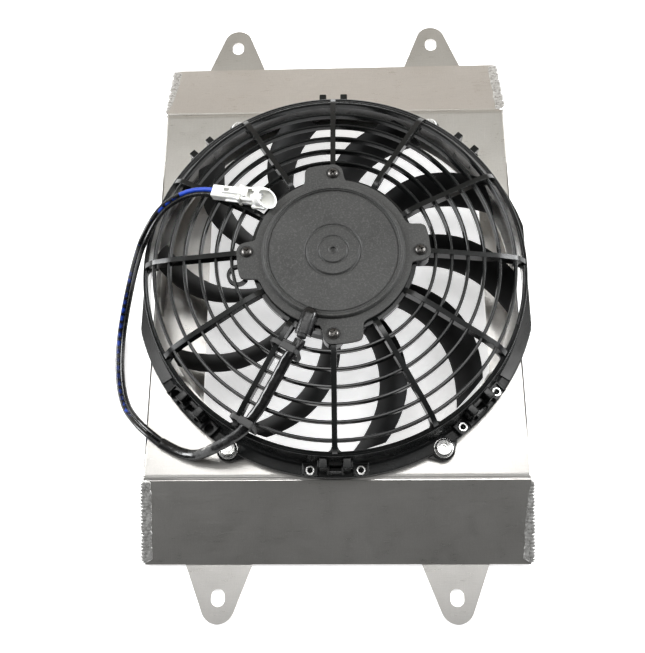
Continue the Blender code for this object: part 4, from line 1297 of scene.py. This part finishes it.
keep(motor_cover(), BODY, "motor_paint", "motor_cover")
keep(hood(), BODY, "cable_black")
for i, where in enumerate(("right", "top", "left", "bottom")):
    keep(cover_screw(i), BODY, "dark_zinc", f"cover_screw_{where}")
keep(strain_relief(), BODY, "rubber", "strain_relief")
keep(motor_can(), BODY, "can_steel", "motor_can")

# ---------------------------------------------------------------- impeller

BLADES, BLADE_START = 10, 23.0
BLADE_ROOT_R, BLADE_TIP_R = 50.5, 138.5


def blade_point(t, s, lift):
    """A blade point: t from root to tip, s from leading to trailing edge, lift across the thickness."""
    radius = BLADE_ROOT_R + (BLADE_TIP_R - BLADE_ROOT_R) * t
    lead = -25.8 * t**1.85
    width = 16.4 - 4.2 * t**0.4 - 1.8 * t**6
    angle = math.radians(lead - width * s)
    rise = 55.0 - (19.0 + 2.0 * t) * s + 3.0 * math.sin(math.pi * s) - 3.0 * t
    thick = (
        0.35 + 0.95 * math.sqrt(max(0.0, math.sin(math.pi * min(1.0, s * 0.92 + 0.06))))
    ) * (1.15 - 0.35 * t)
    return Vector((radius * math.cos(angle), radius * math.sin(angle), rise + lift * thick))


def blade(i):
    rows, columns = 26, 14
    rings = []
    for k in range(rows + 1):
        t = k / rows
        upper = [blade_point(t, c / columns, 1.0) for c in range(columns + 1)]
        lower = [blade_point(t, c / columns, -1.0) for c in range(columns, -1, -1)]
        rings.append(upper + lower)
    return loft("blade", rings, None, turn(BLADE_START + 36.0 * i))


def impeller():
    inner = 49.2
    profile = fillet(
        [
            (51.2, 68.0), (52.0, 67.2), (52.0, 34.0), (51.0, 31.0), (48.0, 29.5), (20.0, 29.5), (18.6, 30.4),
            (11.0, 30.4),
            (9.6, 29.5), (4.3, 29.5), (4.3, 35.5), (10.0, 35.5), (10.0, 32.5), (46.8, 32.5), (inner, 35.0),
            (inner, 68.0),
        ],
        0.8,
    )  # fmt: skip
    hub = turned("impeller_fine", profile, "blade_plastic", 120)
    ribs = [box("hub_rib", (9.0, -0.8, 31.5), (49.6, 0.8, 35.0), None, turn(36.0 * i)) for i in range(10)]
    combine(hub, "UNION", [*(blade(i) for i in range(BLADES)), *ribs])
    combine(hub, "DIFFERENCE", [rod("cup", inner - 0.05, 35.2, 75.0, sides=120)])
    return smooth(hub, 40)


keep(impeller(), ROTOR, "blade_plastic", "impeller")

# ---------------------------------------------------------------- stage and light

floor = bpy.data.objects.new("floor", bpy.data.meshes.new("floor"))
bm = bmesh.new()
bmesh.ops.create_grid(bm, x_segments=1, y_segments=1, size=4.0)
bm.to_mesh(floor.data)
bm.free()
floor.location.z = -0.0003
bpy.context.scene.collection.objects.link(floor)
table = Shader("table", (0.93, 0.93, 0.93), 0.6, Emission_Color=(1.0, 1.0, 1.0, 1.0), Emission_Strength=0.55)
floor.data.materials.append(table.material)

world = bpy.data.worlds.new("studio")
bpy.context.scene.world = world
world.use_nodes = True
sky = world.node_tree.nodes
joins = world.node_tree.links
ramp = sky.new("ShaderNodeValToRGB")
steps = ((0.0, (0.05, 0.052, 0.055)), (0.22, (0.12, 0.12, 0.117)), (0.42, (0.22, 0.22, 0.22)),
    (0.52, (0.52, 0.52, 0.52)),
         (0.62, (0.56, 0.55, 0.52)), (0.76, (0.38, 0.37, 0.33)), (1.0, (0.66, 0.60, 0.54)))  # fmt: skip
while len(ramp.color_ramp.elements) < len(steps):
    ramp.color_ramp.elements.new(0.5)
for element, (position, colour) in zip(ramp.color_ramp.elements, steps):
    element.position = position
    element.color = (*colour, 1.0)
direction = sky.new("ShaderNodeTexCoord").outputs["Generated"]
parts = sky.new("ShaderNodeSeparateXYZ")
joins.new(direction, parts.inputs["Vector"])
share = sky.new("ShaderNodeMapRange")
share.inputs["From Min"].default_value = -1.0
joins.new(parts.outputs["Y"], share.inputs["Value"])
joins.new(share.outputs["Result"], ramp.inputs["Fac"])
joins.new(ramp.outputs["Color"], sky["Background"].inputs["Color"])
sky["Background"].inputs["Strength"].default_value = 0.9


def area(name, at, target, width, height, power, colour=(1.0, 1.0, 1.0)):
    light = bpy.data.lights.new(name, "AREA")
    light.shape = "RECTANGLE"
    light.size, light.size_y = width, height
    light.energy = power
    light.color = colour
    obj = bpy.data.objects.new(name, light)
    obj.location = at
    obj.rotation_euler = (Vector(target) - Vector(at)).to_track_quat("-Z", "Y").to_euler()
    bpy.context.scene.collection.objects.link(obj)
    return obj


area("overhead", (0.0, 0.36, 1.7), (0.0, 0.0, 0.0), 1.1, 0.26, 6.0)
area("left", (-1.7, 0.35, 1.0), (0.0, 0.0, 0.0), 0.8, 1.0, 55.0, (0.97, 0.985, 1.0))
area("right", (1.7, 0.45, 1.0), (0.0, 0.0, 0.0), 0.8, 1.0, 50.0, (0.97, 0.985, 1.0))
